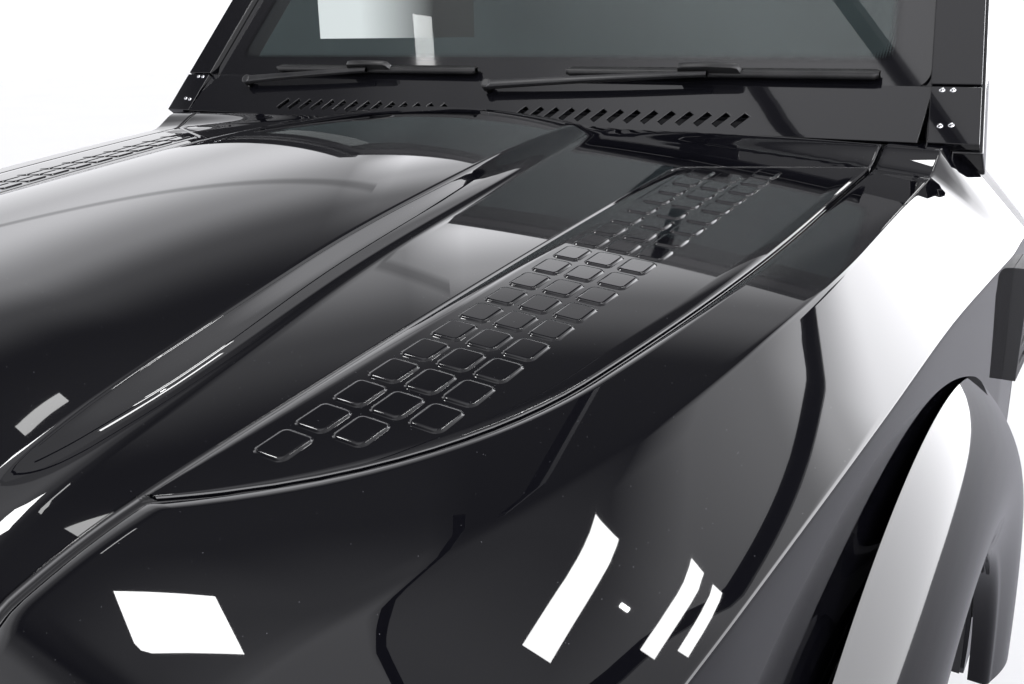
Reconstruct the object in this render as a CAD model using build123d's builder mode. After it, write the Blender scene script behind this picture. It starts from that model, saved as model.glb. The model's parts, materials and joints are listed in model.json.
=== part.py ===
"""Front body section of an off-road vehicle: bonnet, wings, scuttle, windscreen, nose and bulkhead.

Millimetres. +X is the vehicle's left, +Y is rearward and +Z is up. The origin is the centre of the
bulkhead's flat rear face, where the section is bolted to the cabin.
"""

from build123d import *
from collections import namedtuple
from math import acos, cos, degrees, radians, sin
import os

os.makedirs("parts", exist_ok=True)

# Whole section
GROUND_Z = -950.0  # the road under the wheels, which aren't part of the section
WHEEL_Y = -650.0
TYRE_RADIUS = 405.0
WHEEL_Z = GROUND_Z + TYRE_RADIUS
HALF_WIDTH = 998.0
NOSE_Y = -1500.0
SHEET = 6.0  # pressed panel with its hem, as one wall
SHUT_GAP = 5.0

# Upper surface. Its shoulder is one long arc, which rises to the cowl and rolls over at the nose.
# Three (y, z) points of the arc, at SHOULDER_X
SHOULDER_ARC = [(-200.0, 361.0), (-740.0, 303.5), (-1280.0, 231.0)]
SHOULDER_X = 590.0
CROSS_FALL = 0.0756
CROWN_RADIUS = 9000.0
# y, height above the arc and cross fall; the power bulge's half-width, height and rise to its middle;
# x of the wing's upper fold, and x and z of the crease over its side
Station = namedtuple("Station", "y lift fall bulge_x bulge_h dome fold_x crease_x crease_z")
STATIONS = [
    Station(0, 8, 0.02, 240, 1, 12, 822, 940, 250),
    Station(-150, 14, 0.02, 245, 3, 15, 822, 940, 249),
    Station(-215, 0, CROSS_FALL, 262, 16, 20, 822, 940, 247),
    Station(-265, 0, CROSS_FALL, 267, 19, 22, 822, 938, 246),
    Station(-380, 0, CROSS_FALL, 279, 25, 26, 822, 933, 244),
    Station(-550, 0, CROSS_FALL, 297, 30, 30, 822, 927, 242),
    Station(-850, 0, CROSS_FALL, 328, 30, 34, 803, 920, 226),
    Station(-1150, 0, CROSS_FALL, 378, 28, 32, 756, 906, 199),
    Station(-1230, 0, CROSS_FALL, 389, 25, 30, 735, 899, 187),
    Station(-1300, -1, CROSS_FALL, 398, 20, 26, 716, 892, 174),
    Station(-1390, -11, CROSS_FALL, 405, 9, 16, 690, 872, 146),
    Station(-1440, -44, CROSS_FALL, 408, 3, 8, 672, 845, 100),
]
SECTION_STEP = 60
BULGE_WALL = 24.0

# Bonnet outline in plan: a straight side, a long arc, a corner arc and a narrower nose
BONNET_REAR_Y = -150.0
BONNET_FRONT_Y = -1440.0
BONNET_HALF = 740.0
BONNET_STRAIGHT_Y = -480.0
BONNET_SIDE_RADIUS = 3400.0
BONNET_SIDE_TURN = 8.3
BONNET_CORNER_RADIUS = 460.0
BONNET_NOSE_HALF = 507.0

# Patterned plates let into the bonnet
PLATE_DEPTH = 3.0
PLATE_INNER_X = 505.0
PLATE_FRONT_Y = -1290.0
PLATE_REAR_INNER_Y = -352.0
PLATE_REAR_TIP_Y = -214.0
PLATE_EDGE = 5.0
PLATE_CORNER = 30.0
PAD_ROWS = 20
PAD_PITCH_X = 40.0
PAD_PITCH_Y = 45.5
PAD_SIZE = (32.0, 37.0)
PAD_RISE = 2.0
PAD_RADIUS = 7.0
PAD_FIRST = (547.0, -1186.0)

# Bonnet hinge: a gooseneck arm whose pin is under the scuttle
HINGE_Y = -100.0
HINGE_Z = 358.0
HINGE_X = 640.0
HINGE_PIN = 5.0
HINGE_ARM = 8.0

# Gas struts: the lower eye's and the upper eye's places with the bonnet shut
STRUT_X = 530.0
STRUT_LOW = (-330.0, 150.0)
STRUT_HIGH = (-700.0, 262.0)
STRUT_TUBE = 11.0
STRUT_ROD = 5.0

# Windscreen, in its own plane: u across, v up the glass, n outwards
RAKE = 38.0
PILLAR_BASE_Y = -100.0
PILLAR_BASE_Z = 400.0
PILLAR_LEAN = 0.15
FRAME_HALF = 866.0
FRAME_TOP_V = 704.0
FRAME_FACE_N = -8.0
FRAME_DEPTH = 60.0
GLASS_HALF = 790.0
GLASS_V = (62.0, 655.0)
GLASS_THICK = 5.0

# Wipers: pivot and blade middle across, half-length of the blade
WIPER_V = 42.0
BLADE_V = 82.0
SPINDLE = 7.0
WIPERS = {"left": (0.0, 430.0, 275.0), "right": (-640.0, -310.0, 265.0)}

# Wings
WING_INNER_X = 470.0
WING_LOW_Z = -460.0
WING_REAR_Y = -80.0
WING_FRONT_Y = -1436.0
FLANGE_FRONT_Y = -1395.0
WING_SIDE_SWELL = 7.0  # how far the side stands out from the crease half-way down, and at its foot
WING_FOOT_SWELL = 3.0
WING_SIDE_CUT_Z = -75.0  # ahead of the wheel, the wing's side ends here on the bumper
ARCH_RADIUS = 506.0

# Wheel arch flare: radii of its lip, its crown and its outer edge on the wing, and how far that edge sits in
FLARE_LIP_RADIUS = 498.0
FLARE_CROWN_RADIUS = 588.0
FLARE_EDGE_RADIUS = 716.0
FLARE_EDGE_X = 934.0
FLARE_FOOT_Z = -465.0
BUMPER_Z = (-330.0, -80.0)

# Structure under the panels
RAIL_DEPTHS = (-45.0, -95.0)
RAIL_BAND = (4.0, 72.0)
PANEL_X = (560.0, 572.0)
SCUTTLE_LIP = (-138.0, 378.0)
SCUTTLE_TOP = (-50.0, 459.0)
SCUTTLE_HALF = 785.0

# Holes for the four bolts to the cabin
CABIN_BOLTS_ACROSS = 1300.0
CABIN_BOLTS_UP = 580.0
CABIN_BOLTS_Z = -50.0
CABIN_BOLT_RADIUS = 6.5


def arc_height(y):
    """Height of the shoulder's long arc at y, from the circle through its three points."""
    (y0, z0), (y1, z1), (y2, z2) = SHOULDER_ARC
    chord = z0 + (z2 - z0) * (y - y0) / (y2 - y0)
    rise = z1 - (z0 + z2) / 2
    share = (y - y1) / ((y2 - y0) / 2)
    return chord + rise * (1 - share * share)


def crown(x, row):
    """Height of the shoulder surface at x on a station, without the power bulge."""
    u = abs(x) - SHOULDER_X
    return arc_height(row.y) + row.lift - row.fall * u - u * u / (2 * CROWN_RADIUS)


def section_at(y):
    """Section of the table at y, between the two stations round it."""
    after = next(i for i, row in enumerate(STATIONS) if row.y <= y)
    ahead, behind = STATIONS[after], STATIONS[max(after - 1, 0)]
    share = (y - behind.y) / (ahead.y - behind.y) if after else 0
    return Station(*(start + share * (end - start) for start, end in zip(behind, ahead)))


# Sections at even steps, because a loft through uneven ones is wavy
ROWS = [section_at(y) for y in range(0, STATIONS[-1].y - 1, -SECTION_STEP)]
BONNET_ROWS = ROWS[2:]
SHOULDER_ROWS = ROWS[:-1]


def at_station(row):
    """Sketch plane across the vehicle at a station: local x is X and local y is Z."""
    return Plane.XZ.offset(-row.y)


def bonnet_section(row, top, bottom):
    """Closed profile across the bonnet between two depths under its surface."""
    end = BONNET_HALF + 30
    foot = row.bulge_x + BULGE_WALL
    edge_z = crown(foot, row) + row.bulge_h
    middle = (foot + end) / 2

    def chain(depth):
        shoulder = [(end, crown(end, row)), (middle, crown(middle, row)), (foot, crown(foot, row))]
        bulge = [(row.bulge_x, edge_z), (0, edge_z + row.dome)]
        return [(x, z + depth) for x, z in shoulder + bulge]

    with BuildSketch(at_station(row)) as face:
        with BuildLine():
            for depth in (top, bottom):
                a, b, c, d, e = chain(depth)
                left = [(-x, z) for x, z in (a, b, c, d)]
                ThreePointArc(a, b, c)
                Line(c, d)
                ThreePointArc(d, e, left[3])
                Line(left[3], left[2])
                ThreePointArc(left[2], left[1], left[0])
            Line((end, crown(end, row) + top), (end, crown(end, row) + bottom))
            Line((-end, crown(end, row) + top), (-end, crown(end, row) + bottom))
        make_face()
    return face.sketch


def bonnet_layer(top, bottom):
    """Solid sheet that follows the bonnet's surface between two depths."""
    with BuildPart() as layer:
        loft(sections=[bonnet_section(row, top, bottom) for row in BONNET_ROWS])
    return layer.part


def shoulder_section(row, top, bottom, x_in, x_out):
    """Closed profile of the left shoulder between two depths and two x."""
    middle = (x_in + x_out) / 2
    with BuildSketch(at_station(row)) as face:
        with BuildLine():
            for depth in (top, bottom):
                points = [(x, crown(x, row) + depth) for x in (x_in, middle, x_out)]
                ThreePointArc(*points)
            for x in (x_in, x_out):
                Line((x, crown(x, row) + top), (x, crown(x, row) + bottom))
        make_face()
    return face.sketch


def shoulder_layer(top, bottom, x_in, x_out):
    """Solid sheet that follows the left shoulder's surface between two depths."""
    with BuildPart() as layer:
        loft(sections=[shoulder_section(row, top, bottom, x_in, x_out) for row in SHOULDER_ROWS])
    return layer.part


def bonnet_outline(grow=0.0):
    """Plan of the bonnet, grown outwards by a gap."""
    side = BONNET_SIDE_RADIUS
    corner = BONNET_CORNER_RADIUS
    turn = radians(BONNET_SIDE_TURN)
    side_centre = (BONNET_HALF - side, BONNET_STRAIGHT_Y)
    reach = side - corner
    corner_centre = (side_centre[0] + reach * cos(turn), side_centre[1] - reach * sin(turn))
    nose_x = BONNET_NOSE_HALF + grow
    corner_end = degrees(acos((nose_x - corner_centre[0]) / (corner + grow)))
    with BuildSketch() as plan:
        with BuildLine():
            Line((0, BONNET_REAR_Y + grow), (BONNET_HALF + grow, BONNET_REAR_Y + grow))
            Line((BONNET_HALF + grow, BONNET_REAR_Y + grow), (BONNET_HALF + grow, BONNET_STRAIGHT_Y))
            CenterArc(side_centre, side + grow, 0, -BONNET_SIDE_TURN)
            corner_arc = CenterArc(
                corner_centre, corner + grow, -BONNET_SIDE_TURN, BONNET_SIDE_TURN - corner_end
            )
            Line(corner_arc @ 1, (nose_x, BONNET_FRONT_Y - grow))
            Line((nose_x, BONNET_FRONT_Y - grow), (0, BONNET_FRONT_Y - grow))
            mirror(about=Plane.YZ)
        make_face()
    return plan.sketch


def column(plan, low=-900.0, high=1200.0):
    """Upright prism on a plan."""
    with BuildPart() as prism:
        with BuildSketch(Plane.XY.offset(low)):
            add(plan)
        extrude(amount=high - low)
    return prism.part


def block(x0, x1, y0, y1, z0, z1):
    """Box by its limits."""
    with BuildPart() as solid:
        with Locations(((x0 + x1) / 2, (y0 + y1) / 2, (z0 + z1) / 2)):
            Box(x1 - x0, y1 - y0, z1 - z0)
    return solid.part


def mirrored(part):
    """The same piece on the other side of the vehicle."""
    with BuildPart() as other:
        mirror(part, about=Plane.YZ, mode=Mode.ADD)
    return other.part


def write(part, name):
    """Labels a piece and writes it to its own file."""
    part.label = name
    export_step(part, f"parts/{name}.step")


def write_pair(part, name):
    """Writes a left piece and its mirror image."""
    write(part, f"{name}_left")
    write(mirrored(part), f"{name}_right")


def plate_outline(grow=0.0):
    """Plan of the left patterned plate, bounded outside by the bonnet's own edge."""
    inner = PLATE_INNER_X - grow
    rear = PLATE_REAR_INNER_Y + grow
    front = PLATE_FRONT_Y - grow
    tip = (BONNET_HALF + 60, PLATE_REAR_TIP_Y + 38 + grow)
    with BuildSketch() as plan:
        with BuildLine():
            Polyline((inner, front), (inner, rear), tip, (tip[0], front), close=True)
        make_face()
        fillet(plan.vertices().sort_by(Axis.X)[:2].sort_by(Axis.Y)[-1:], PLATE_CORNER)
        add(bonnet_outline(grow - PLATE_EDGE), mode=Mode.INTERSECT)
    return plan.sketch


def bent_sheet(top, bottom):
    """Sheet bent to the shoulder's arc along the vehicle and straight across its fall."""
    fall = Vector(1, 0, -CROSS_FALL).normalized()
    start_x = PLATE_INNER_X - 35
    drop = CROSS_FALL * (SHOULDER_X - start_x)
    ends = (-1420.0, -740.0, -150.0)
    profile_plane = Plane(origin=(start_x, 0, drop), x_dir=(0, 1, 0), z_dir=fall)
    with BuildPart() as sheet:
        with BuildSketch(profile_plane):
            with BuildLine():
                for depth in (top, bottom):
                    ThreePointArc(*[(y, arc_height(y) + depth) for y in ends])
                for y in (ends[0], ends[-1]):
                    Line((y, arc_height(y) + top), (y, arc_height(y) + bottom))
            make_face()
        extrude(amount=320)
    return sheet.part


# Bonnet
with BuildPart() as bonnet_skin:
    add(bonnet_layer(0, -SHEET))
    add(column(bonnet_outline()), mode=Mode.INTERSECT)
    recess = bent_sheet(12, -PLATE_DEPTH) & column(plate_outline(1.0))
    add(recess, mode=Mode.SUBTRACT)
    mirror(recess, about=Plane.YZ, mode=Mode.SUBTRACT)
write(bonnet_skin.part, "bonnet_skin")

INNER_FRAME_DEPTH = 24.0
FRAME_UNDER = -SHEET - INNER_FRAME_DEPTH
# x and y limits of the windows pressed through the inner frame
MIDDLE_WINDOWS = [(x, x + 190, *span) for x in (-215, 25) for span in ((-560, -260), (-1200, -640))]
SIDE_WINDOWS = [(330, 490, -760, -330), (440, 600, -1080, -840)]
with BuildPart() as bonnet_inner_frame:
    add(bonnet_layer(-SHEET, FRAME_UNDER))
    add(column(bonnet_outline(-22.0)), mode=Mode.INTERSECT)
    add(block(-900, 900, -1402, 0, -900, 900), mode=Mode.INTERSECT)
    for x0, x1, y0, y1 in MIDDLE_WINDOWS + SIDE_WINDOWS + [(-b, -a, c, d) for a, b, c, d in SIDE_WINDOWS]:
        add(block(x0, x1, y0, y1, 0, 600), mode=Mode.SUBTRACT)
write(bonnet_inner_frame.part, "bonnet_inner_frame")

with BuildPart() as bonnet_plate:
    add(bent_sheet(0, -PLATE_DEPTH) & column(plate_outline()))
    pad_places = []
    for i in range(3):
        for j in range(PAD_ROWS):
            pad_places.append((PAD_FIRST[0] + i * PAD_PITCH_X, PAD_FIRST[1] + (i + j) * PAD_PITCH_Y))
    with BuildSketch() as pads:
        with Locations(*pad_places):
            RectangleRounded(*PAD_SIZE, PAD_RADIUS)
    pad_field = bent_sheet(PAD_RISE, -PLATE_DEPTH / 2) & column(plate_outline(-9.0))
    add(pad_field & column(pads.sketch))
write_pair(bonnet_plate.part, "bonnet_plate")


def rod(start, end, radius):
    """Round bar between two points."""
    path = Vector(end) - Vector(start)
    with BuildPart() as bar:
        with BuildSketch(Plane(origin=start, z_dir=path.normalized())):
            Circle(radius)
        extrude(amount=path.length)
    return bar.part


# Gooseneck arm: under the bonnet's inner frame, below the scuttle's lip and up to the pin
ARM_FRONT_Y = -300.0
with BuildPart() as hinge_arm:
    with BuildSketch(Plane.YZ.offset(HINGE_X - HINGE_ARM / 2)):
        with BuildLine():
            FilletPolyline(
                (HINGE_Y - 4, HINGE_Z + 8),
                (HINGE_Y - 40, HINGE_Z - 28),
                (HINGE_Y - 64, HINGE_Z - 38),
                (HINGE_Y - 74, HINGE_Z + 10),
                (ARM_FRONT_Y, HINGE_Z + 10),
                (ARM_FRONT_Y, HINGE_Z - 58),
                (HINGE_Y - 66, HINGE_Z - 62),
                (HINGE_Y - 24, HINGE_Z - 44),
                (HINGE_Y + 8, HINGE_Z - 4),
                radius=6,
                close=True,
            )
        make_face()
        with Locations((HINGE_Y, HINGE_Z)):
            Circle(9)
            Circle(HINGE_PIN + 0.05, mode=Mode.SUBTRACT)
    extrude(amount=HINGE_ARM)
    add(bonnet_layer(FRAME_UNDER, 200), mode=Mode.SUBTRACT)
write_pair(hinge_arm.part, "hinge_arm")

EAR_GAP = 2.0
with BuildPart() as hinge_base:
    add(block(HINGE_X - 20, HINGE_X + 20, -90, -84, 305, 382))
    for side in (-1, 1):
        near = HINGE_X + side * (HINGE_ARM / 2 + EAR_GAP)
        far = near + side * 5
        add(block(min(near, far), max(near, far), -110, -86, HINGE_Z - 14, HINGE_Z + 10))
    add(rod((HINGE_X - 12, HINGE_Y, HINGE_Z), (HINGE_X + 12, HINGE_Y, HINGE_Z), HINGE_PIN))
write_pair(hinge_base.part, "hinge_base")

# Gas struts
strut_low = Vector(STRUT_X, *STRUT_LOW)
strut_high = Vector(STRUT_X, *STRUT_HIGH)
strut_way = (strut_high - strut_low).normalized()
strut_length = (strut_high - strut_low).length
TUBE_START = 14.0
TUBE_LENGTH = strut_length - 62.0
with BuildPart() as strut_cylinder:
    add(rod(strut_low + strut_way * TUBE_START, strut_low + strut_way * (TUBE_START + TUBE_LENGTH), STRUT_TUBE))
    bore_end = strut_low + strut_way * (TUBE_START + TUBE_LENGTH + 1)
    add(rod(strut_low + strut_way * (TUBE_START + 8), bore_end, STRUT_ROD + 0.5), mode=Mode.SUBTRACT)
    add(rod(strut_low - Vector(8, 0, 0), strut_low + Vector(8, 0, 0), 9))
    add(rod(strut_low, strut_low + strut_way * (TUBE_START + 2), 6))
write_pair(strut_cylinder.part, "strut_cylinder")

with BuildPart() as strut_rod:
    add(rod(strut_low + strut_way * (TUBE_START + 12), strut_high - strut_way * 5, STRUT_ROD))
    add(rod(strut_high - Vector(8, 0, 0), strut_high + Vector(8, 0, 0), 9))
write_pair(strut_rod.part, "strut_rod")

# Striker loop under the bonnet's nose
STRIKER_Y = -1368.0
STRIKER_Z = 118.0
with BuildPart() as bonnet_striker:
    add(block(-45, 45, STRIKER_Y - 22, STRIKER_Y + 22, 150, 260))
    add(block(-36, 36, STRIKER_Y - 30, STRIKER_Y + 30, 156, 300), mode=Mode.SUBTRACT)
    for side in (-1, 1):
        add(rod((side * 16, STRIKER_Y, 154), (side * 16, STRIKER_Y, STRIKER_Z), 5))
    add(rod((-21, STRIKER_Y, STRIKER_Z), (21, STRIKER_Y, STRIKER_Z), 5))
    add(block(-30, 30, STRIKER_Y - 22, STRIKER_Y + 22, 150, 156))
    add(bonnet_layer(FRAME_UNDER, 200), mode=Mode.SUBTRACT)
write(bonnet_striker.part, "bonnet_striker")


# Windscreen
GLASS_PLANE = Plane(
    origin=(0, PILLAR_BASE_Y, PILLAR_BASE_Z),
    x_dir=(1, 0, 0),
    z_dir=(0, -cos(radians(RAKE)), sin(radians(RAKE))),
)


def leaning(half, v0, v1):
    """Upright trapezium in the glass plane: its sides lean in with the pillars."""
    points = [(half - PILLAR_LEAN * v, v) for v in (v0, v1)]
    return [points[0], points[1], (-points[1][0], v1), (-points[0][0], v0)]


with BuildPart() as windscreen_frame:
    with BuildSketch(GLASS_PLANE.offset(FRAME_FACE_N)) as frame_face:
        with BuildLine():
            Polyline(*leaning(FRAME_HALF, -40, FRAME_TOP_V), close=True)
        make_face()
        fillet(frame_face.vertices().group_by(Axis.Y)[-1], 45)
        with BuildLine():
            Polyline(*leaning(GLASS_HALF - 22, 55, 640), close=True)
        make_face(mode=Mode.SUBTRACT)
        with BuildLine():
            Polyline(*leaning(GLASS_HALF - 4, -60, 5), close=True)
        make_face(mode=Mode.SUBTRACT)
    extrude(amount=-FRAME_DEPTH)
write(windscreen_frame.part, "windscreen_frame")

with BuildPart() as windscreen_glass:
    with BuildSketch(GLASS_PLANE.offset(FRAME_FACE_N)) as pane:
        with BuildLine():
            Polyline(*leaning(GLASS_HALF, *GLASS_V), close=True)
        make_face()
        fillet(pane.vertices(), 30)
    extrude(amount=GLASS_THICK)
write(windscreen_glass.part, "windscreen_glass")

TRIM_SPLIT_V = 62.0
with BuildPart() as pillar_trim:
    with BuildSketch(GLASS_PLANE.offset(FRAME_FACE_N)) as trim_face:
        for v0, v1 in ((-36, TRIM_SPLIT_V - 2), (TRIM_SPLIT_V + 2, 690)):
            with BuildLine():
                inner = [(GLASS_HALF + 2 - PILLAR_LEAN * v, v) for v in (v0, v1)]
                outer = [(FRAME_HALF - 4 - PILLAR_LEAN * v, v) for v in (v1, v0)]
                Polyline(*inner, *outer, close=True)
            make_face()
    extrude(amount=18)
write_pair(pillar_trim.part, "pillar_trim")


# Wings
def wing_corner(row, depth):
    """Points of a wing's section: along the top to its fold, to the crease and down the side."""
    middle = (WING_INNER_X + row.fold_x) / 2
    top = [(x, crown(x, row) - depth) for x in (WING_INNER_X, middle, row.fold_x)]
    crease = (row.crease_x - depth, row.crease_z - depth)
    side_mid = (row.crease_x + WING_SIDE_SWELL - depth, (row.crease_z + WING_LOW_Z) / 2)
    side_low = (row.crease_x + WING_FOOT_SWELL - depth, WING_LOW_Z)
    return [*top, crease, side_mid, side_low]


def wing_body(depth):
    """Loft of all that lies inside a wing's surface at a depth."""
    sections = []
    for row in ROWS:
        a, b, c, d, e, f = wing_corner(row, depth)
        with BuildSketch(at_station(row)) as face:
            with BuildLine():
                ThreePointArc(a, b, c)
                Line(c, d)
                ThreePointArc(d, e, f)
                Polyline(f, (WING_INNER_X, WING_LOW_Z), a)
            make_face()
        sections.append(face.sketch)
    with BuildPart() as body:
        loft(sections=sections)
    return body.part


def wheel_disc(radius, x0, x1):
    """Disc across the vehicle about the wheel's centre."""
    with BuildPart() as disc:
        with BuildSketch(Plane.YZ.offset(x0)):
            with Locations((WHEEL_Y, WHEEL_Z)):
                Circle(radius)
        extrude(amount=x1 - x0)
    return disc.part


wing_outside = wing_body(0)
wing_inside = wing_body(SHEET)
shut_column = column(bonnet_outline(SHUT_GAP))
rail_layer = shoulder_layer(*RAIL_DEPTHS, WING_INNER_X, 830)
with BuildPart() as wing_flange:
    add(shoulder_layer(-SHEET / 2, RAIL_DEPTHS[0] - 3, WING_INNER_X, 800))
    add(column(bonnet_outline(SHUT_GAP + 5)), mode=Mode.INTERSECT)
    add(shut_column, mode=Mode.SUBTRACT)
    add(block(0, 800, FLANGE_FRONT_Y, SCUTTLE_LIP[0], 0, 600), mode=Mode.INTERSECT)
    add(rail_layer, mode=Mode.SUBTRACT)
with BuildPart() as wing:
    add(wing_outside - wing_inside)
    add(shut_column, mode=Mode.SUBTRACT)
    add(block(0, 1200, WING_FRONT_Y, WING_REAR_Y, -600, 600), mode=Mode.INTERSECT)
    add(wheel_disc(ARCH_RADIUS, 700, 1200), mode=Mode.SUBTRACT)
    add(block(700, 1200, WING_FRONT_Y, WHEEL_Y, -600, WING_SIDE_CUT_Z), mode=Mode.SUBTRACT)
    add(block(700, 1200, WHEEL_Y - ARCH_RADIUS, WHEEL_Y + ARCH_RADIUS, -600, WHEEL_Z), mode=Mode.SUBTRACT)
    add(windscreen_frame.part, mode=Mode.SUBTRACT)
    add(pillar_trim.part, mode=Mode.SUBTRACT)
    add(wing_flange.part)
    add(block(0, GLASS_HALF, SCUTTLE_LIP[0], 0, 0, 600), mode=Mode.SUBTRACT)
    add(block(0, BONNET_HALF + SHUT_GAP, BONNET_REAR_Y, 0, 0, 600), mode=Mode.SUBTRACT)
write_pair(wing.part, "wing")

# Wheel arch flares: a blister turned about the wheel's axis and seated on the wing's side
with BuildPart() as arch_flare:
    with BuildSketch(Plane(origin=(0, WHEEL_Y, WHEEL_Z), x_dir=(1, 0, 0), z_dir=(0, -1, 0))):
        with BuildLine():
            Line((880, FLARE_LIP_RADIUS), (HALF_WIDTH - 18, FLARE_LIP_RADIUS))
            lip_top = (HALF_WIDTH, FLARE_LIP_RADIUS + 22)
            ThreePointArc((HALF_WIDTH - 18, FLARE_LIP_RADIUS), (HALF_WIDTH - 5, FLARE_LIP_RADIUS + 6), lip_top)
            crown_start = (HALF_WIDTH, FLARE_CROWN_RADIUS - 20)
            Line(lip_top, crown_start)
            shelf = (FLARE_EDGE_X + 12, FLARE_EDGE_RADIUS - 48)
            ThreePointArc(crown_start, (HALF_WIDTH - 11, FLARE_CROWN_RADIUS + 32), shelf)
            Polyline(shelf, (FLARE_EDGE_X, FLARE_EDGE_RADIUS), (880, FLARE_EDGE_RADIUS), (880, FLARE_LIP_RADIUS))
        make_face()
    revolve(axis=Axis((0, WHEEL_Y, WHEEL_Z), (1, 0, 0)))
    add(block(860, 1000, -1600, WHEEL_Y, -1400, BUMPER_Z[1]), mode=Mode.SUBTRACT)
    add(block(860, 1000, WHEEL_Y, 400, -1400, FLARE_FOOT_Z), mode=Mode.SUBTRACT)
    add(block(860, 1000, WING_REAR_Y - 4, 400, -1400, 400), mode=Mode.SUBTRACT)
    add(wing_outside, mode=Mode.SUBTRACT)
write_pair(arch_flare.part.solids().sort_by(SortBy.VOLUME)[-1], "arch_flare")

# Arch liners: a shell over the wheel between the inner wing and the wing's side
with BuildPart() as arch_liner:
    with BuildSketch(Plane.YZ.offset(PANEL_X[1])):
        with Locations((WHEEL_Y, WHEEL_Z)):
            Circle(ARCH_RADIUS)
            Circle(ARCH_RADIUS - 4, mode=Mode.SUBTRACT)
        with Locations((WHEEL_Y, WHEEL_Z - 500)):
            Rectangle(2000, 1000 + 100, mode=Mode.SUBTRACT)
    extrude(amount=940 - PANEL_X[1])
    add(block(500, 1000, -1300, WHEEL_Y, -600, BUMPER_Z[0]), mode=Mode.SUBTRACT)
    add(block(500, 1000, WHEEL_Y, 0, -600, FLARE_FOOT_Z), mode=Mode.SUBTRACT)
    add(wing_inside, mode=Mode.INTERSECT)
write_pair(arch_liner.part, "arch_liner")

# Side vents, seated on the wings behind the arches
VENT_Y = (-215.0, -120.0)
VENT_Z = (66.0, 226.0)
VENT_FACE_X = 962.0
VENT_SLOTS = 5
VENT_SLOT_PITCH = 29.0
with BuildPart() as side_vent:
    add(block(900, VENT_FACE_X, VENT_Y[0], VENT_Y[1], VENT_Z[0], VENT_Z[1]))
    for i in range(VENT_SLOTS):
        z = VENT_Z[0] + 16 + i * VENT_SLOT_PITCH
        slot_x = VENT_FACE_X - 4
        add(block(slot_x, VENT_FACE_X + 1, VENT_Y[0] + 12, VENT_Y[1] - 12, z, z + 12), mode=Mode.SUBTRACT)
    add(wing_outside, mode=Mode.SUBTRACT)
write_pair(side_vent.part, "side_vent")

# Structure under the panels
with BuildPart() as inner_wing:
    add(rail_layer)
    add(column(bonnet_outline(RAIL_BAND[1])), mode=Mode.INTERSECT)
    add(column(bonnet_outline(RAIL_BAND[0])), mode=Mode.SUBTRACT)
    add(shoulder_layer(RAIL_DEPTHS[1] + 5, RAIL_DEPTHS[1] - SHEET, PANEL_X[0], 812))
    add(shoulder_layer(RAIL_DEPTHS[1] - 3, RAIL_DEPTHS[1] - 420, *PANEL_X))
    add(block(0, 900, -1355, -118, -600, 285), mode=Mode.INTERSECT)
    add(block(PANEL_X[0], PANEL_X[1], -130, -20, -160, 270))
write_pair(inner_wing.part, "inner_wing")

with BuildPart() as bulkhead:
    add(block(-700, 700, -20, 0, -400, 400))
    for z in (-260, -120, 20, 160):
        add(block(-545, 545, -32, -20, z, z + 50))
    add(block(-700, 700, -90, -20, 292, 298))
    add(block(-700, 700, -84, -78, 292, 402))
    post = block(700, 990, -118, 0, WING_LOW_Z, 400) & wing_inside
    add(post)
    mirror(post, about=Plane.YZ)
    add(windscreen_frame.part, mode=Mode.SUBTRACT)
    for trim_side in (pillar_trim.part, mirrored(pillar_trim.part)):
        add(trim_side, mode=Mode.SUBTRACT)
    with BuildSketch(Plane.XZ.offset(-1)):
        with Locations((0, CABIN_BOLTS_Z)):
            with GridLocations(CABIN_BOLTS_ACROSS, CABIN_BOLTS_UP, 2, 2):
                Circle(CABIN_BOLT_RADIUS)
    extrude(amount=22, mode=Mode.SUBTRACT)
write(bulkhead.part, "bulkhead")

# Scuttle panel with its air slots
SLOT_COUNT = 14
SLOT_PITCH = 32.0
SLOT_SIZE = (13.0, 30.0)
slope = Vector(0, SCUTTLE_TOP[0] - SCUTTLE_LIP[0], SCUTTLE_TOP[1] - SCUTTLE_LIP[1]).normalized()
SCUTTLE_PLANE = Plane(origin=(0, *SCUTTLE_LIP), x_dir=(1, 0, 0), z_dir=Vector(1, 0, 0).cross(slope))
with BuildPart() as scuttle_panel:
    with BuildSketch(SCUTTLE_PLANE):
        with Locations((0, 65)):
            Rectangle(2 * SCUTTLE_HALF, 130)
    extrude(amount=-4)
    with BuildSketch(SCUTTLE_PLANE):
        for side in (-1, 1):
            with Locations(*[(side * (92 + i * SLOT_PITCH), 30) for i in range(SLOT_COUNT)]):
                Rectangle(*SLOT_SIZE, rotation=-35)
    extrude(amount=-10, mode=Mode.SUBTRACT)
    for pivot_u, middle_u, half in WIPERS.values():
        with BuildSketch(GLASS_PLANE.offset(-7)):
            with Locations((pivot_u, WIPER_V)):
                Circle(SPINDLE + 2)
        extrude(amount=20, mode=Mode.SUBTRACT)
    add(windscreen_frame.part, mode=Mode.SUBTRACT)
    add(windscreen_glass.part, mode=Mode.SUBTRACT)
    add(block(-900, 900, -300, 200, 452, 700), mode=Mode.SUBTRACT)
    for trim_side in (pillar_trim.part, mirrored(pillar_trim.part)):
        add(trim_side, mode=Mode.SUBTRACT)
write(scuttle_panel.part, "scuttle_panel")

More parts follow.
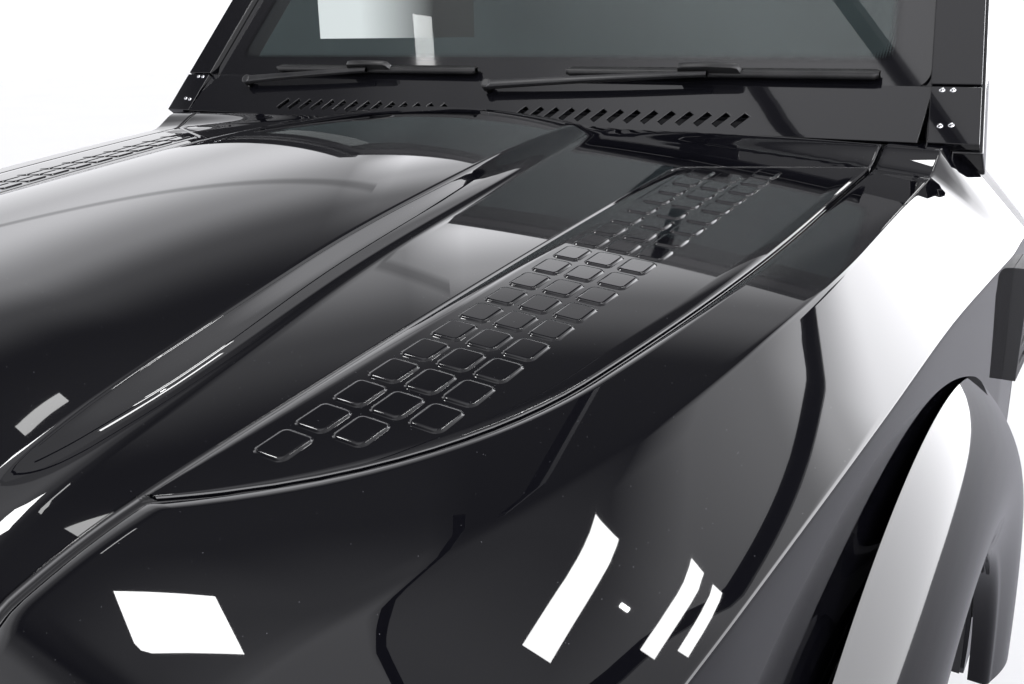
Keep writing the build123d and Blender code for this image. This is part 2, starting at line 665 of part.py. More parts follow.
# Wipers: built along the glass at rest, pointing to the vehicle's left
for side, (pivot_u, middle_u, half) in WIPERS.items():
    with BuildPart() as wiper_arm:
        with BuildSketch(GLASS_PLANE.offset(-6)):
            with Locations((pivot_u, WIPER_V)):
                Circle(SPINDLE)
        extrude(amount=18)
        with BuildSketch(GLASS_PLANE.offset(11)):
            with Locations((pivot_u, WIPER_V)):
                Circle(11)
        extrude(amount=15)
        with BuildSketch(GLASS_PLANE.offset(12)):
            with BuildLine():
                Polyline(
                    (pivot_u, WIPER_V - 10),
                    (middle_u, BLADE_V - 16),
                    (middle_u, BLADE_V - 6),
                    (pivot_u, WIPER_V + 10),
                    close=True,
                )
            make_face()
        extrude(amount=12)
    write(wiper_arm.part, f"wiper_arm_{side}")
    with BuildPart() as wiper_blade:
        with BuildSketch(GLASS_PLANE.offset(-2.5)):
            with Locations((middle_u, BLADE_V)):
                Rectangle(2 * half, 5)
        extrude(amount=8)
        with BuildSketch(GLASS_PLANE.offset(5.5)):
            with Locations((middle_u, BLADE_V)):
                Rectangle(2 * half, 20)
        extrude(amount=8)
        with BuildSketch(GLASS_PLANE.offset(5.5)):
            with Locations((middle_u, BLADE_V)):
                Rectangle(120, 12)
        extrude(amount=20)
        add(wiper_arm.part, mode=Mode.SUBTRACT)
    write(wiper_blade.part, f"wiper_blade_{side}")

# Nose
PANEL_BACK_Y = -1402.0
PANEL_FRONT_Y = -1448.0
PANEL_LOW_Z = -75.0
# Top edge of the front panel, from its middle outwards under the bonnet's nose and the wing
PANEL_TOP = [(0.0, 171.0), (505.0, 157.0), (672.0, 145.0), (830.0, 89.0)]
INTAKE_SIZE = (960.0, 160.0)
INTAKE_Z = 42.0
LAMP_SIZE = (240.0, 120.0)
LAMP_PLACE = (680.0, 26.0)
LAMP_CORNER = 36.0


def lamp_face():
    """Outline of the left headlamp, seen from the front."""
    with BuildSketch() as face:
        with Locations(LAMP_PLACE):
            RectangleRounded(*LAMP_SIZE, LAMP_CORNER)
    return face.sketch


with BuildPart() as front_panel:
    with BuildSketch(Plane.XZ.offset(-PANEL_BACK_Y)) as panel_face:
        with BuildLine():
            middle_top, inner_top, fold_top, outer_top = PANEL_TOP
            ThreePointArc((-inner_top[0], inner_top[1]), middle_top, inner_top)
            for s in (-1, 1):
                outline = [inner_top, fold_top, outer_top, (outer_top[0], PANEL_LOW_Z), (0, PANEL_LOW_Z)]
                Polyline(*[(s * x, z) for x, z in outline])
        make_face()
        with Locations((0, INTAKE_Z)):
            RectangleRounded(*INTAKE_SIZE, 20, mode=Mode.SUBTRACT)
        add(lamp_face(), mode=Mode.SUBTRACT)
        mirror(lamp_face(), about=Plane.YZ, mode=Mode.SUBTRACT)
    extrude(amount=PANEL_BACK_Y - PANEL_FRONT_Y)
write(front_panel.part, "front_panel")

with BuildPart() as grille:
    add(block(-480, 480, -1436, -1430, -38, 122))
    for x in range(-440, 441, 110):
        add(block(x - 30, x + 30, -1446, -1416, -30, 114), mode=Mode.SUBTRACT)
    for z in (-30, 4, 38, 72, 106):
        add(block(-480, 480, -1452, -1432, z, z + 12))
    with BuildSketch(Plane.XZ.offset(1400)):
        with Locations((0, INTAKE_Z)):
            RectangleRounded(*INTAKE_SIZE, 20)
    extrude(amount=70, mode=Mode.INTERSECT)
write(grille.part, "grille")

LAMP_BACK_Y = -1364.0
LENS_BACK_Y = -1438.0
LENS_THICK = 12.0
REFLECTOR_RADIUS = 48.0
with BuildPart() as headlamp:
    with BuildSketch(Plane.XZ.offset(-LAMP_BACK_Y)):
        add(lamp_face())
    extrude(amount=LAMP_BACK_Y - LENS_BACK_Y)
    with Locations(Location((LAMP_PLACE[0], LENS_BACK_Y, LAMP_PLACE[1]), (90, 0, 0))):
        Cylinder(REFLECTOR_RADIUS, 80, mode=Mode.SUBTRACT)
write_pair(headlamp.part, "headlamp")

with BuildPart() as headlamp_lens:
    with BuildSketch(Plane.XZ.offset(-LENS_BACK_Y)):
        add(lamp_face())
    extrude(amount=LENS_THICK)
    fillet(headlamp_lens.faces().sort_by(Axis.Y)[0].edges(), 4)
write_pair(headlamp_lens.part, "headlamp_lens")

with BuildPart() as slam_panel:
    add(block(-PANEL_X[0], PANEL_X[0], -1400, -1335, 62, 110))
    add(block(-PANEL_X[0], PANEL_X[0], -1395, -1341, -330, -280))
    for s in (-1, 1):
        x0, x1 = sorted((s * (PANEL_X[0] - 50), s * PANEL_X[0]))
        add(block(x0, x1, -1395, -1341, -290, 70))
    add(block(-40, 40, -1402, -1333, 76, 200), mode=Mode.SUBTRACT)
write(slam_panel.part, "slam_panel")

with BuildPart() as bonnet_latch:
    add(block(-38, 38, -1395, -1341, 76, 140))
    add(block(-27, 27, STRIKER_Y - 11, STRIKER_Y + 11, 106, 200), mode=Mode.SUBTRACT)
write(bonnet_latch.part, "bonnet_latch")

BUMPER_WALL = 36.0
BUMPER_SHELF = 96.0  # the flat top runs inwards as far as this, under the wing and the front panel
BUMPER_SHELF_THICK = 12.0
BUMPER_SIDE_X = 988.0
BUMPER_END_Y = -800.0
BUMPER_CORNER_Y = -1340.0
BUMPER_NOSE_X = 850.0


def bumper_band(wall, low, high, corner):
    """Band round the nose from the bumper's outline inwards, between two heights."""
    with BuildPart() as band:
        with BuildSketch(Plane.XY.offset(low)):
            with BuildLine():
                for inset, radius in ((0, 110), (wall, corner)):
                    side_x = BUMPER_SIDE_X - inset
                    nose_y = NOSE_Y + inset
                    FilletPolyline(
                        (-side_x, BUMPER_END_Y),
                        (-side_x, BUMPER_CORNER_Y),
                        (-BUMPER_NOSE_X, nose_y),
                        (BUMPER_NOSE_X, nose_y),
                        (side_x, BUMPER_CORNER_Y),
                        (side_x, BUMPER_END_Y),
                        radius=radius,
                    )
                for s in (-1, 1):
                    Line((s * BUMPER_SIDE_X, BUMPER_END_Y), (s * (BUMPER_SIDE_X - wall), BUMPER_END_Y))
            make_face()
        extrude(amount=high - low)
    return band.part


with BuildPart() as bumper:
    add(bumper_band(BUMPER_WALL, *BUMPER_Z, 110 - BUMPER_WALL))
    add(bumper_band(BUMPER_SHELF, BUMPER_Z[1] - BUMPER_SHELF_THICK, BUMPER_Z[1], 20))
    add(block(-420, 420, -1600, -1400, -290, -170), mode=Mode.SUBTRACT)
    for s in (-1, 1):
        add(block(*sorted((s * 690, s * 810)), -1600, -1400, -250, -170), mode=Mode.SUBTRACT)
        for disc in (wheel_disc(FLARE_LIP_RADIUS, 860, 1000), wheel_disc(ARCH_RADIUS + 4, 860, 945)):
            add(disc if s > 0 else mirrored(disc), mode=Mode.SUBTRACT)
write(bumper.part, "bumper")

with BuildPart() as front_frame:
    for s in (-1, 1):
        add(block(*sorted((s * 330, s * 400)), -1464, -20, -400, -330))
        add(block(*sorted((s * 330, s * 400)), -60, -20, -400, -300))
    add(block(-400, 400, -200, -140, -400, -350))
    add(block(-640, 640, -1464, -1400, -330, -230))
write(front_frame.part, "front_frame")

with BuildPart() as skid_plate:
    with BuildSketch(Plane.YZ.offset(-330)):
        with BuildLine():
            Polyline((-1488, -330), (-1400, -408), (-1150, -408), (-1150, -402), (-1397, -402), (-1480, -330), close=True)
        make_face()
    extrude(amount=660)
    add(front_frame.part, mode=Mode.SUBTRACT)
write(skid_plate.part, "skid_plate")
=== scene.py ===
"""Looks of an off-road vehicle's front body section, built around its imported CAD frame.

Sizes are in millimetres, as on a drawing, and turn into metres where a mesh is made. +X is the
vehicle's left, +Y is rearward and +Z is up. The origin is the middle of the bulkhead's rear face.
"""

from __future__ import annotations

import json
import logging
import math
from collections.abc import Sequence
from dataclasses import dataclass
from enum import Enum

import bmesh
import bpy
import numpy as np
from mathutils import Matrix, Vector

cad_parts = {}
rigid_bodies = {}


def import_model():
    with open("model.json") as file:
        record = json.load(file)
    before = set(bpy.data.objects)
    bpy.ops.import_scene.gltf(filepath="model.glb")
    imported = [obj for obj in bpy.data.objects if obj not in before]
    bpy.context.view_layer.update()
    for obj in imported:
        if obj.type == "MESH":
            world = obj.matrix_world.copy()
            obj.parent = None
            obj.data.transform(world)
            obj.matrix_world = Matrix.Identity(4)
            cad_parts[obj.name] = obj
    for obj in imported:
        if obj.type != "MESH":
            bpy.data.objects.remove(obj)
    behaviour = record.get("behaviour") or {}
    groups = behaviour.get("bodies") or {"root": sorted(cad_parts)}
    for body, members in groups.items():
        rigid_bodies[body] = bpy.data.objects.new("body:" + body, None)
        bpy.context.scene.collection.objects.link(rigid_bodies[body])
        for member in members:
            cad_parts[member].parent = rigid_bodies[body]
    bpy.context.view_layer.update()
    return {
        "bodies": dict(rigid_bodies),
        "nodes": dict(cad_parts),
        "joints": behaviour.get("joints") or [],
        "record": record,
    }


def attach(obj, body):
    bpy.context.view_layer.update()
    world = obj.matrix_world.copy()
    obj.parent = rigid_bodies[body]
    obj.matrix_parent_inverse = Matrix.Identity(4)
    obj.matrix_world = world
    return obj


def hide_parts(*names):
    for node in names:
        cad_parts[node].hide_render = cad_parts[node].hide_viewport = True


LOG = logging.getLogger("front_section")
MM = 0.001
SMOOTH_ANGLE = math.radians(32.0)
FLAT_ANGLE = math.radians(0.4)
WELD = 0.02 * MM


class Side(Enum):
    """The two sides of the vehicle, by the sign of X."""

    LEFT = 1
    RIGHT = -1

    @property
    def word(self) -> str:
        """The side's name as it ends a piece's name."""
        return self.name.lower()


class Body(Enum):
    """The bodies of the frame that pieces ride on."""

    SHELL = "body_shell"
    BONNET = "bonnet"
    WIPER_LEFT = "wiper_left"
    WIPER_RIGHT = "wiper_right"


class Slot(Enum):
    """The record's material slots."""

    BODY_PAINT = "body_paint"
    PLATE_GLOSS = "plate_gloss"
    UNDER_PAINT = "under_paint"
    TRIM_PLASTIC = "trim_plastic"
    GLOSS_TRIM = "gloss_trim"
    TINTED_GLASS = "tinted_glass"
    LAMP_LENS = "lamp_lens"
    LAMP_BODY = "lamp_body"
    STEEL = "steel"
    ROD_CHROME = "rod_chrome"
    WIPER_RUBBER = "wiper_rubber"
    SKID_METAL = "skid_metal"


def placed(name: str, data: bpy.types.ID) -> bpy.types.Object:
    """An object for some data, linked to the scene."""
    made = bpy.data.objects.new(name, data)
    bpy.context.scene.collection.objects.link(made)
    return made


class Workshop:
    """Finishes new pieces and hands them to the bodies of the frame."""

    def __init__(self, finishes: "Finishes", frame: dict[str, dict]) -> None:
        """Keeps the finishes, the CAD nodes with their slots, and the body of each node."""
        self.finishes = finishes
        self.nodes = frame["nodes"]
        self.slots = {row["node"]: Slot(row["material_slot"]) for row in frame["record"]["subparts"]}
        self.bodies = frame["record"]["behaviour"]["bodies"]
        self.seated: list[tuple[str, str]] = []
        for name, node in self.nodes.items():
            finishes.dress(node, self.slots[name])

    def body_of(self, node: str) -> str:
        """Name of the body that a CAD node is on."""
        return next((body for body, nodes in self.bodies.items() if node in nodes), Body.SHELL.value)

    def seat(self, piece: bpy.types.Object, slot: Slot, body: Body | str, *replaced: str) -> None:
        """Dresses a piece, and lets it ride on its body.

        Args:
            piece: The new mesh object.
            slot: Its finish.
            body: The body that it moves with, or that body's name.
            replaced: Names of the CAD nodes whose looks it takes over.
        """
        carrier = body.value if isinstance(body, Body) else body
        self.finishes.dress(piece, slot)
        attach(piece, carrier)
        if replaced:
            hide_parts(*replaced)
        self.seated.append((piece.name, carrier))


# Materials


Socket = bpy.types.NodeSocket
Colour = Point = tuple[float, float, float]
Stops = tuple[tuple[float, float], ...]


class NodeDesk:
    """A node tree with short ways to add and join nodes."""

    def __init__(self, owner: bpy.types.ID, output: str = "OutputMaterial") -> None:
        """Empties the owner's tree and leaves only its output node.

        Args:
            owner: The material or world.
            output: Kind of its output node.
        """
        owner.use_nodes = True
        self.tree = owner.node_tree
        self.tree.nodes.clear()
        self.output = self.add(output)

    @classmethod
    def material(cls, name: str) -> tuple[bpy.types.Material, "NodeDesk"]:
        """A new material and its desk."""
        made = bpy.data.materials.new(name)
        return made, cls(made)

    def add(self, kind: str, values: dict[str, object] | None = None, **settings: object) -> bpy.types.Node:
        """Adds a node.

        Args:
            kind: Node type without its ShaderNode prefix.
            values: Input values by socket name.
            settings: Attributes of the node.

        Returns:
            The new node.
        """
        node = self.tree.nodes.new("ShaderNode" + kind)
        for key, value in settings.items():
            setattr(node, key, value)
        for key, value in (values or {}).items():
            node.inputs[key].default_value = value
        return node

    def join(self, start: Socket, end: Socket) -> None:
        """Links an output socket to an input socket."""
        self.tree.links.new(start, end)

    def show(self, surface: Socket) -> None:
        """Links a shader to the output."""
        self.join(surface, self.output.inputs["Surface"])

    def mix(self, share: Socket, first: bpy.types.Node, second: bpy.types.Node) -> None:
        """Shows a mixture of two shader nodes."""
        mixed = self.add("MixShader")
        for i, socket in enumerate((share, first.outputs["BSDF"], second.outputs["BSDF"])):
            self.join(socket, mixed.inputs[i])
        self.show(mixed.outputs[0])

    def beyond_eye(self) -> Socket:
        """1 for rays that reflect or pass through glass, 0 for the rest."""
        paths = self.add("LightPath").outputs
        return self.math("MAXIMUM", paths["Is Glossy Ray"], paths["Is Transmission Ray"])

    def math(self, operation: str, *terms: Socket | float) -> Socket:
        """A sum, product or other plain operation on sockets and numbers."""
        node = self.add("Math", operation=operation)
        for i, term in enumerate(terms):
            if isinstance(term, Socket):
                self.join(term, node.inputs[i])
            else:
                node.inputs[i].default_value = term
        return node.outputs[0]

    def split(self, vector: Socket) -> tuple[Socket, ...]:
        """The three parts of a vector."""
        node = self.add("SeparateXYZ")
        self.join(vector, node.inputs["Vector"])
        return tuple(node.outputs)

    def curve(self, value: Socket, stops: Sequence[tuple[float, float]]) -> Socket:
        """Smooth curve through stops that lie between 0 and 1."""
        node = self.add("ValToRGB")
        ramp = node.color_ramp
        ramp.interpolation = "EASE"
        for i, (place, level) in enumerate(stops):
            stop = ramp.elements[i] if i < 2 else ramp.elements.new(place)
            stop.position = place
            stop.color = (level, level, level, 1.0)
        self.join(value, node.inputs["Fac"])
        return node.outputs["Color"]

    def place(self) -> Socket:
        """The point on the surface, in metres in the part's frame."""
        return self.add("TexCoord").outputs["Object"]

    def noise(self, place: Socket, scale: float, detail: float = 2.0) -> Socket:
        """Noise at a number of features for each metre."""
        node = self.add("TexNoise", {"Scale": scale, "Detail": detail})
        self.join(place, node.inputs["Vector"])
        return node.outputs["Fac"]

    def spread(self, value: Socket, source: tuple[float, float], low: float, high: float) -> Socket:
        """Maps a range of a value onto another range."""
        ends = {"From Min": source[0], "From Max": source[1], "To Min": low, "To Max": high}
        node = self.add("MapRange", ends)
        self.join(value, node.inputs["Value"])
        return node.outputs["Result"]

    def bump(self, height: Socket, strength: float, distance: float) -> Socket:
        """Surface normal from a height."""
        node = self.add("Bump", {"Strength": strength, "Distance": distance})
        self.join(height, node.inputs["Height"])
        return node.outputs["Normal"]

    def blend(self, share: Socket, first: Sequence[float], second: Sequence[float]) -> Socket:
        """Colour between two colours."""
        node = self.add("Mix", data_type="RGBA")
        node.inputs[6].default_value = (*first, 1.0)
        node.inputs[7].default_value = (*second, 1.0)
        self.join(share, node.inputs[0])
        return node.outputs[2]


@dataclass(frozen=True)
class Finish:
    """A finish with a base colour and a roughness that varies a little over the surface."""

    slot: Slot
    colour: Colour
    second: Colour
    rough: tuple[float, float]
    metallic: float = 0.0
    specular: float = 0.5
    coat: float = 0.0
    coat_rough: float = 0.03
    patch_scale: float = 6.0
    grain_scale: float = 900.0
    grain_depth: float = 0.00002
    grain_strength: float = 0.3

    def shader(self, desk: NodeDesk) -> bpy.types.Node:
        """The shader with the values that don't vary."""
        values = {
            "Metallic": self.metallic,
            "Specular IOR Level": self.specular,
            "Coat Weight": self.coat,
            "Coat Roughness": self.coat_rough,
        }
        return desk.add("BsdfPrincipled", values)

    def build(self) -> bpy.types.Material:
        """Makes the material.

        Returns:
            A node material named after the record's slot.
        """
        made, desk = NodeDesk.material(self.slot.value)
        shader = self.shader(desk)
        place = desk.place()
        patches = desk.noise(place, self.patch_scale, 5.0)
        shades = desk.spread(patches, (0.35, 0.65), 0.0, 1.0)
        desk.join(desk.blend(shades, self.colour, self.second), shader.inputs["Base Color"])
        desk.join(desk.spread(patches, (0.3, 0.7), *self.rough), shader.inputs["Roughness"])
        self.relief(desk, shader, place)
        desk.show(shader.outputs["BSDF"])
        return made

    def relief(self, desk: NodeDesk, shader: bpy.types.Node, place: Socket) -> None:
        """Adds the fine relief of the surface."""
        grain = desk.noise(place, self.grain_scale, 3.0)
        desk.join(desk.bump(grain, self.grain_strength, self.grain_depth), shader.inputs["Normal"])


@dataclass(frozen=True)
class GlossPaint(Finish):
    """Polished clear coat: faint waves, and a few specks of dust on faces that look up."""

    dust_scale: float = 520.0
    dust_share: float = 0.012

    def build(self) -> bpy.types.Material:
        """Makes the material."""
        made, desk = NodeDesk.material(self.slot.value)
        shader = self.shader(desk)
        place = desk.place()
        specks = desk.add("TexVoronoi", {"Scale": self.dust_scale, "Randomness": 1.0})
        desk.join(place, specks.inputs["Vector"])
        near = desk.spread(specks.outputs["Distance"], (0.10, 0.16), 1.0, 0.0)
        chosen = desk.math("GREATER_THAN", desk.split(specks.outputs["Color"])[0], 1.0 - self.dust_share)
        facing = desk.split(desk.add("NewGeometry").outputs["Normal"])[2]
        upward = desk.spread(facing, (0.6, 0.95), 0.0, 1.0)
        settled = desk.math("MULTIPLY", desk.math("MULTIPLY", near, chosen), upward)
        desk.join(desk.blend(settled, self.colour, self.second), shader.inputs["Base Color"])
        haze = desk.noise(place, self.patch_scale, 4.0)
        desk.join(desk.spread(haze, (0.3, 0.7), *self.rough), shader.inputs["Roughness"])
        waves = desk.noise(place, self.grain_scale, 1.0)
        desk.join(desk.bump(waves, self.grain_strength, self.grain_depth), shader.inputs["Normal"])
        desk.show(shader.outputs["BSDF"])
        return made


@dataclass(frozen=True)
class GrainedPlastic(Finish):
    """Moulded plastic with a pebbled grain."""

    def relief(self, desk: NodeDesk, shader: bpy.types.Node, place: Socket) -> None:
        """Adds the pebbles of the grain."""
        pebbles = desk.add("TexVoronoi", {"Scale": self.grain_scale}, feature="SMOOTH_F1")
        desk.join(place, pebbles.inputs["Vector"])
        bumps = desk.bump(pebbles.outputs["Distance"], self.grain_strength, self.grain_depth)
        desk.join(bumps, shader.inputs["Normal"])


@dataclass(frozen=True)
class BrushedMetal(Finish):
    """Rolled or brushed metal with long fine lines across the vehicle."""

    stretch: float = 40.0

    def relief(self, desk: NodeDesk, shader: bpy.types.Node, place: Socket) -> None:
        """Adds the brushing."""
        mapping = desk.add("Mapping", {"Scale": (1.0, self.stretch, self.stretch)})
        desk.join(place, mapping.inputs["Vector"])
        lines = desk.noise(mapping.outputs["Vector"], self.grain_scale / self.stretch, 4.0)
        desk.join(desk.bump(lines, self.grain_strength, self.grain_depth), shader.inputs["Normal"])


@dataclass(frozen=True)
class ClearGlass:
    """Glass, tinted through its thickness by its colour."""

    slot: Slot
    colour: Colour
    rough: float = 0.0
    ior: float = 1.48

    def build(self) -> bpy.types.Material:
        """Makes the material."""
        made, desk = NodeDesk.material(self.slot.value)
        values = {"Base Color": (*self.colour, 1.0), "Transmission Weight": 1.0, "IOR": self.ior}
        shader = desk.add("BsdfPrincipled", values)
        smears = desk.noise(desk.place(), 9.0, 4.0)
        desk.join(desk.spread(smears, (0.45, 0.8), self.rough, self.rough + 0.02), shader.inputs["Roughness"])
        desk.show(shader.outputs["BSDF"])
        return made


@dataclass(frozen=True)
class ScreenGlass(ClearGlass):
    """Windscreen: tinted glass with a black printed border that fades out in dots."""

    height: float = 0.593
    half: float = 0.790
    lean: float = 0.15
    band: float = 0.045
    dots: float = 0.022
    dot_pitch: float = 0.0042

    def build(self) -> bpy.types.Material:
        """Makes the material, with the border measured along the glass from its own edges."""
        made, desk = NodeDesk.material(self.slot.value)
        tint = {"Base Color": (*self.colour, 1.0), "Transmission Weight": 1.0, "IOR": self.ior}
        clear = desk.add("BsdfPrincipled", {**tint, "Roughness": self.rough})
        black = {"Base Color": (0.006, 0.006, 0.008, 1.0), "Roughness": 0.06, "Coat Weight": 1.0}
        print_coat = desk.add("BsdfPrincipled", black)
        rake = math.radians(Screen.RAKE)
        along = desk.add("Mapping", {"Rotation": (rake - math.pi / 2, 0.0, 0.0)}, vector_type="POINT")
        shift = desk.add("VectorMath", operation="SUBTRACT")
        shift.inputs[1].default_value = (0.0, Screen.BASE_Y * MM, Screen.BASE_Z * MM)
        desk.join(desk.place(), shift.inputs[0])
        desk.join(shift.outputs[0], along.inputs["Vector"])
        across, up, _ = desk.split(along.outputs["Vector"])
        desk.mix(self.ink(desk, across, up), clear, print_coat)
        return made

    def ink(self, desk: NodeDesk, across: Socket, up: Socket) -> Socket:
        """Share of black print: a solid border, then rows of dots that shrink inwards."""
        lean = desk.math("MULTIPLY", up, self.lean)
        side = desk.math("SUBTRACT", self.half, desk.math("ADD", desk.math("ABSOLUTE", across), lean))
        low = desk.math("SUBTRACT", up, Screen.GLASS_V[0] * MM)
        high = desk.math("SUBTRACT", Screen.GLASS_V[1] * MM, up)
        inside = desk.math("SMOOTH_MIN", desk.math("SMOOTH_MIN", low, high, 0.03), side, 0.05)
        turns = 2.0 * math.pi / self.dot_pitch
        waves = [desk.math("COSINE", desk.math("MULTIPLY", axis, turns)) for axis in (across, up)]
        limit = desk.spread(inside, (self.band, self.band + self.dots), -2.2, 2.2)
        return desk.math("GREATER_THAN", desk.math("ADD", *waves), limit)


DUST = (0.30, 0.30, 0.33)


class Finishes:
    """All the finishes of the section, made once and picked by slot."""

    PAINT = GlossPaint(
        Slot.BODY_PAINT, (0.004, 0.004, 0.006), DUST, (0.015, 0.045),
        specular=0.05, coat=1.0, coat_rough=0.01,
        patch_scale=3.0, grain_scale=260.0, grain_depth=0.000004, grain_strength=0.12,
    )
    PLATE = GlossPaint(
        Slot.PLATE_GLOSS, (0.005, 0.005, 0.007), DUST, (0.03, 0.06),
        specular=0.05, coat=1.0, coat_rough=0.015,
        patch_scale=3.0, grain_scale=420.0, grain_depth=0.000004, grain_strength=0.12,
    )
    GLOSS_TRIM = GlossPaint(
        Slot.GLOSS_TRIM, (0.006, 0.006, 0.008), DUST, (0.04, 0.09),
        specular=0.2, coat=0.8, coat_rough=0.02,
        patch_scale=4.0, grain_scale=350.0, grain_depth=0.000005, grain_strength=0.15,
    )
    UNDER = Finish(
        Slot.UNDER_PAINT, (0.030, 0.030, 0.034), (0.042, 0.042, 0.047), (0.38, 0.52),
        patch_scale=5.0, grain_scale=700.0, grain_depth=0.00005, grain_strength=0.4,
    )
    TRIM = GrainedPlastic(
        Slot.TRIM_PLASTIC, (0.020, 0.020, 0.022), (0.028, 0.028, 0.031), (0.50, 0.66),
        patch_scale=7.0, grain_scale=850.0, grain_depth=0.00012, grain_strength=0.6,
    )
    STEEL = Finish(
        Slot.STEEL, (0.020, 0.020, 0.022), (0.032, 0.032, 0.034), (0.30, 0.42), metallic=0.2,
        patch_scale=14.0, grain_scale=1200.0, grain_depth=0.00003, grain_strength=0.4,
    )
    CHROME = BrushedMetal(
        Slot.ROD_CHROME, (0.62, 0.62, 0.64), (0.55, 0.55, 0.57), (0.06, 0.12), metallic=1.0,
        grain_scale=4000.0, grain_depth=0.000005, grain_strength=0.2,
    )
    RUBBER = Finish(
        Slot.WIPER_RUBBER, (0.014, 0.014, 0.015), (0.020, 0.020, 0.021), (0.32, 0.45),
        patch_scale=20.0, grain_scale=1500.0, grain_depth=0.00004, grain_strength=0.4,
    )
    SKID = BrushedMetal(
        Slot.SKID_METAL, (0.36, 0.36, 0.37), (0.30, 0.30, 0.31), (0.30, 0.45), metallic=1.0,
        grain_scale=1800.0, grain_depth=0.00004, grain_strength=0.5,
    )
    LAMP_BODY = Finish(
        Slot.LAMP_BODY, (0.10, 0.10, 0.11), (0.14, 0.14, 0.15), (0.12, 0.2), metallic=0.9,
        patch_scale=10.0, grain_scale=900.0, grain_depth=0.00002, grain_strength=0.2,
    )
    LENS = ClearGlass(Slot.LAMP_LENS, (0.92, 0.94, 0.96))
    SCREEN = ScreenGlass(Slot.TINTED_GLASS, (0.80, 0.87, 0.85))

    def __init__(self) -> None:
        """Builds every material."""
        found = (
            self.PAINT, self.PLATE, self.GLOSS_TRIM, self.UNDER, self.TRIM, self.STEEL,
            self.CHROME, self.RUBBER, self.SKID, self.LAMP_BODY, self.LENS, self.SCREEN,
        )
        self.by_slot = {finish.slot: finish.build() for finish in found}

    def dress(self, piece: bpy.types.Object, slot: Slot) -> None:
        """Gives a piece one finish."""
        piece.data.materials.clear()
        piece.data.materials.append(self.by_slot[slot])


# Meshes


def monotone(at: np.ndarray, knots: np.ndarray, values: np.ndarray) -> np.ndarray:
    """Smooth curve through knots that never overshoots them.

    Args:
        at: Where the curve is wanted.
        knots: Rising places of the knots.
        values: Heights of the knots.

    Returns:
        The curve's heights.
    """
    step = np.diff(knots)
    rate = np.diff(values) / step
    before, after = rate[:-1], rate[1:]
    level = before * after <= 0
    mean = np.where(level, 0.0, 2.0 * before * after / np.where(level, 1.0, before + after))
    slope = np.concatenate((rate[:1], mean, rate[-1:]))
    i = np.clip(np.searchsorted(knots, at) - 1, 0, len(step) - 1)
    h = step[i]
    t = (at - knots[i]) / h
    rise = (1 + 2 * t) * (1 - t) ** 2 * values[i] + t * t * (3 - 2 * t) * values[i + 1]
    return rise + h * t * (1 - t) * ((1 - t) * slope[i] - t * slope[i + 1])


def soft_min(a: np.ndarray, b: np.ndarray, width: float) -> np.ndarray:
    """The lower of two heights, with a rounded corner where they cross."""
    near = np.maximum(width - np.abs(a - b), 0.0)
    return np.minimum(a, b) - near * near / (4.0 * width)


def soft_max(a: np.ndarray, b: np.ndarray, width: float) -> np.ndarray:
    """The higher of two heights, with a rounded corner where they cross."""
    return -soft_min(-a, -b, width)


def smooth_step(value: np.ndarray, start: float, end: float) -> np.ndarray:
    """Rises smoothly from 0 to 1 between two values."""
    t = np.clip((value - start) / (end - start), 0.0, 1.0)
    return t * t * (3.0 - 2.0 * t)


def directions(points: np.ndarray, axis: int) -> np.ndarray:
    """Direction of a grid's lines at each of its points, exact for uneven steps to second order."""
    points = np.moveaxis(points, axis, 0)
    ahead = np.diff(points, axis=0)
    length = np.maximum(np.linalg.norm(ahead, axis=-1, keepdims=True), 1e-9)
    rate = ahead / length
    inner = (rate[:-1] * length[1:] + rate[1:] * length[:-1]) / (length[1:] + length[:-1])
    return np.moveaxis(np.concatenate((rate[:1], inner, rate[-1:])), 0, axis)


def unit(vectors: np.ndarray) -> np.ndarray:
    """The same vectors at a length of one."""
    return vectors / np.maximum(np.linalg.norm(vectors, axis=-1, keepdims=True), 1e-9)


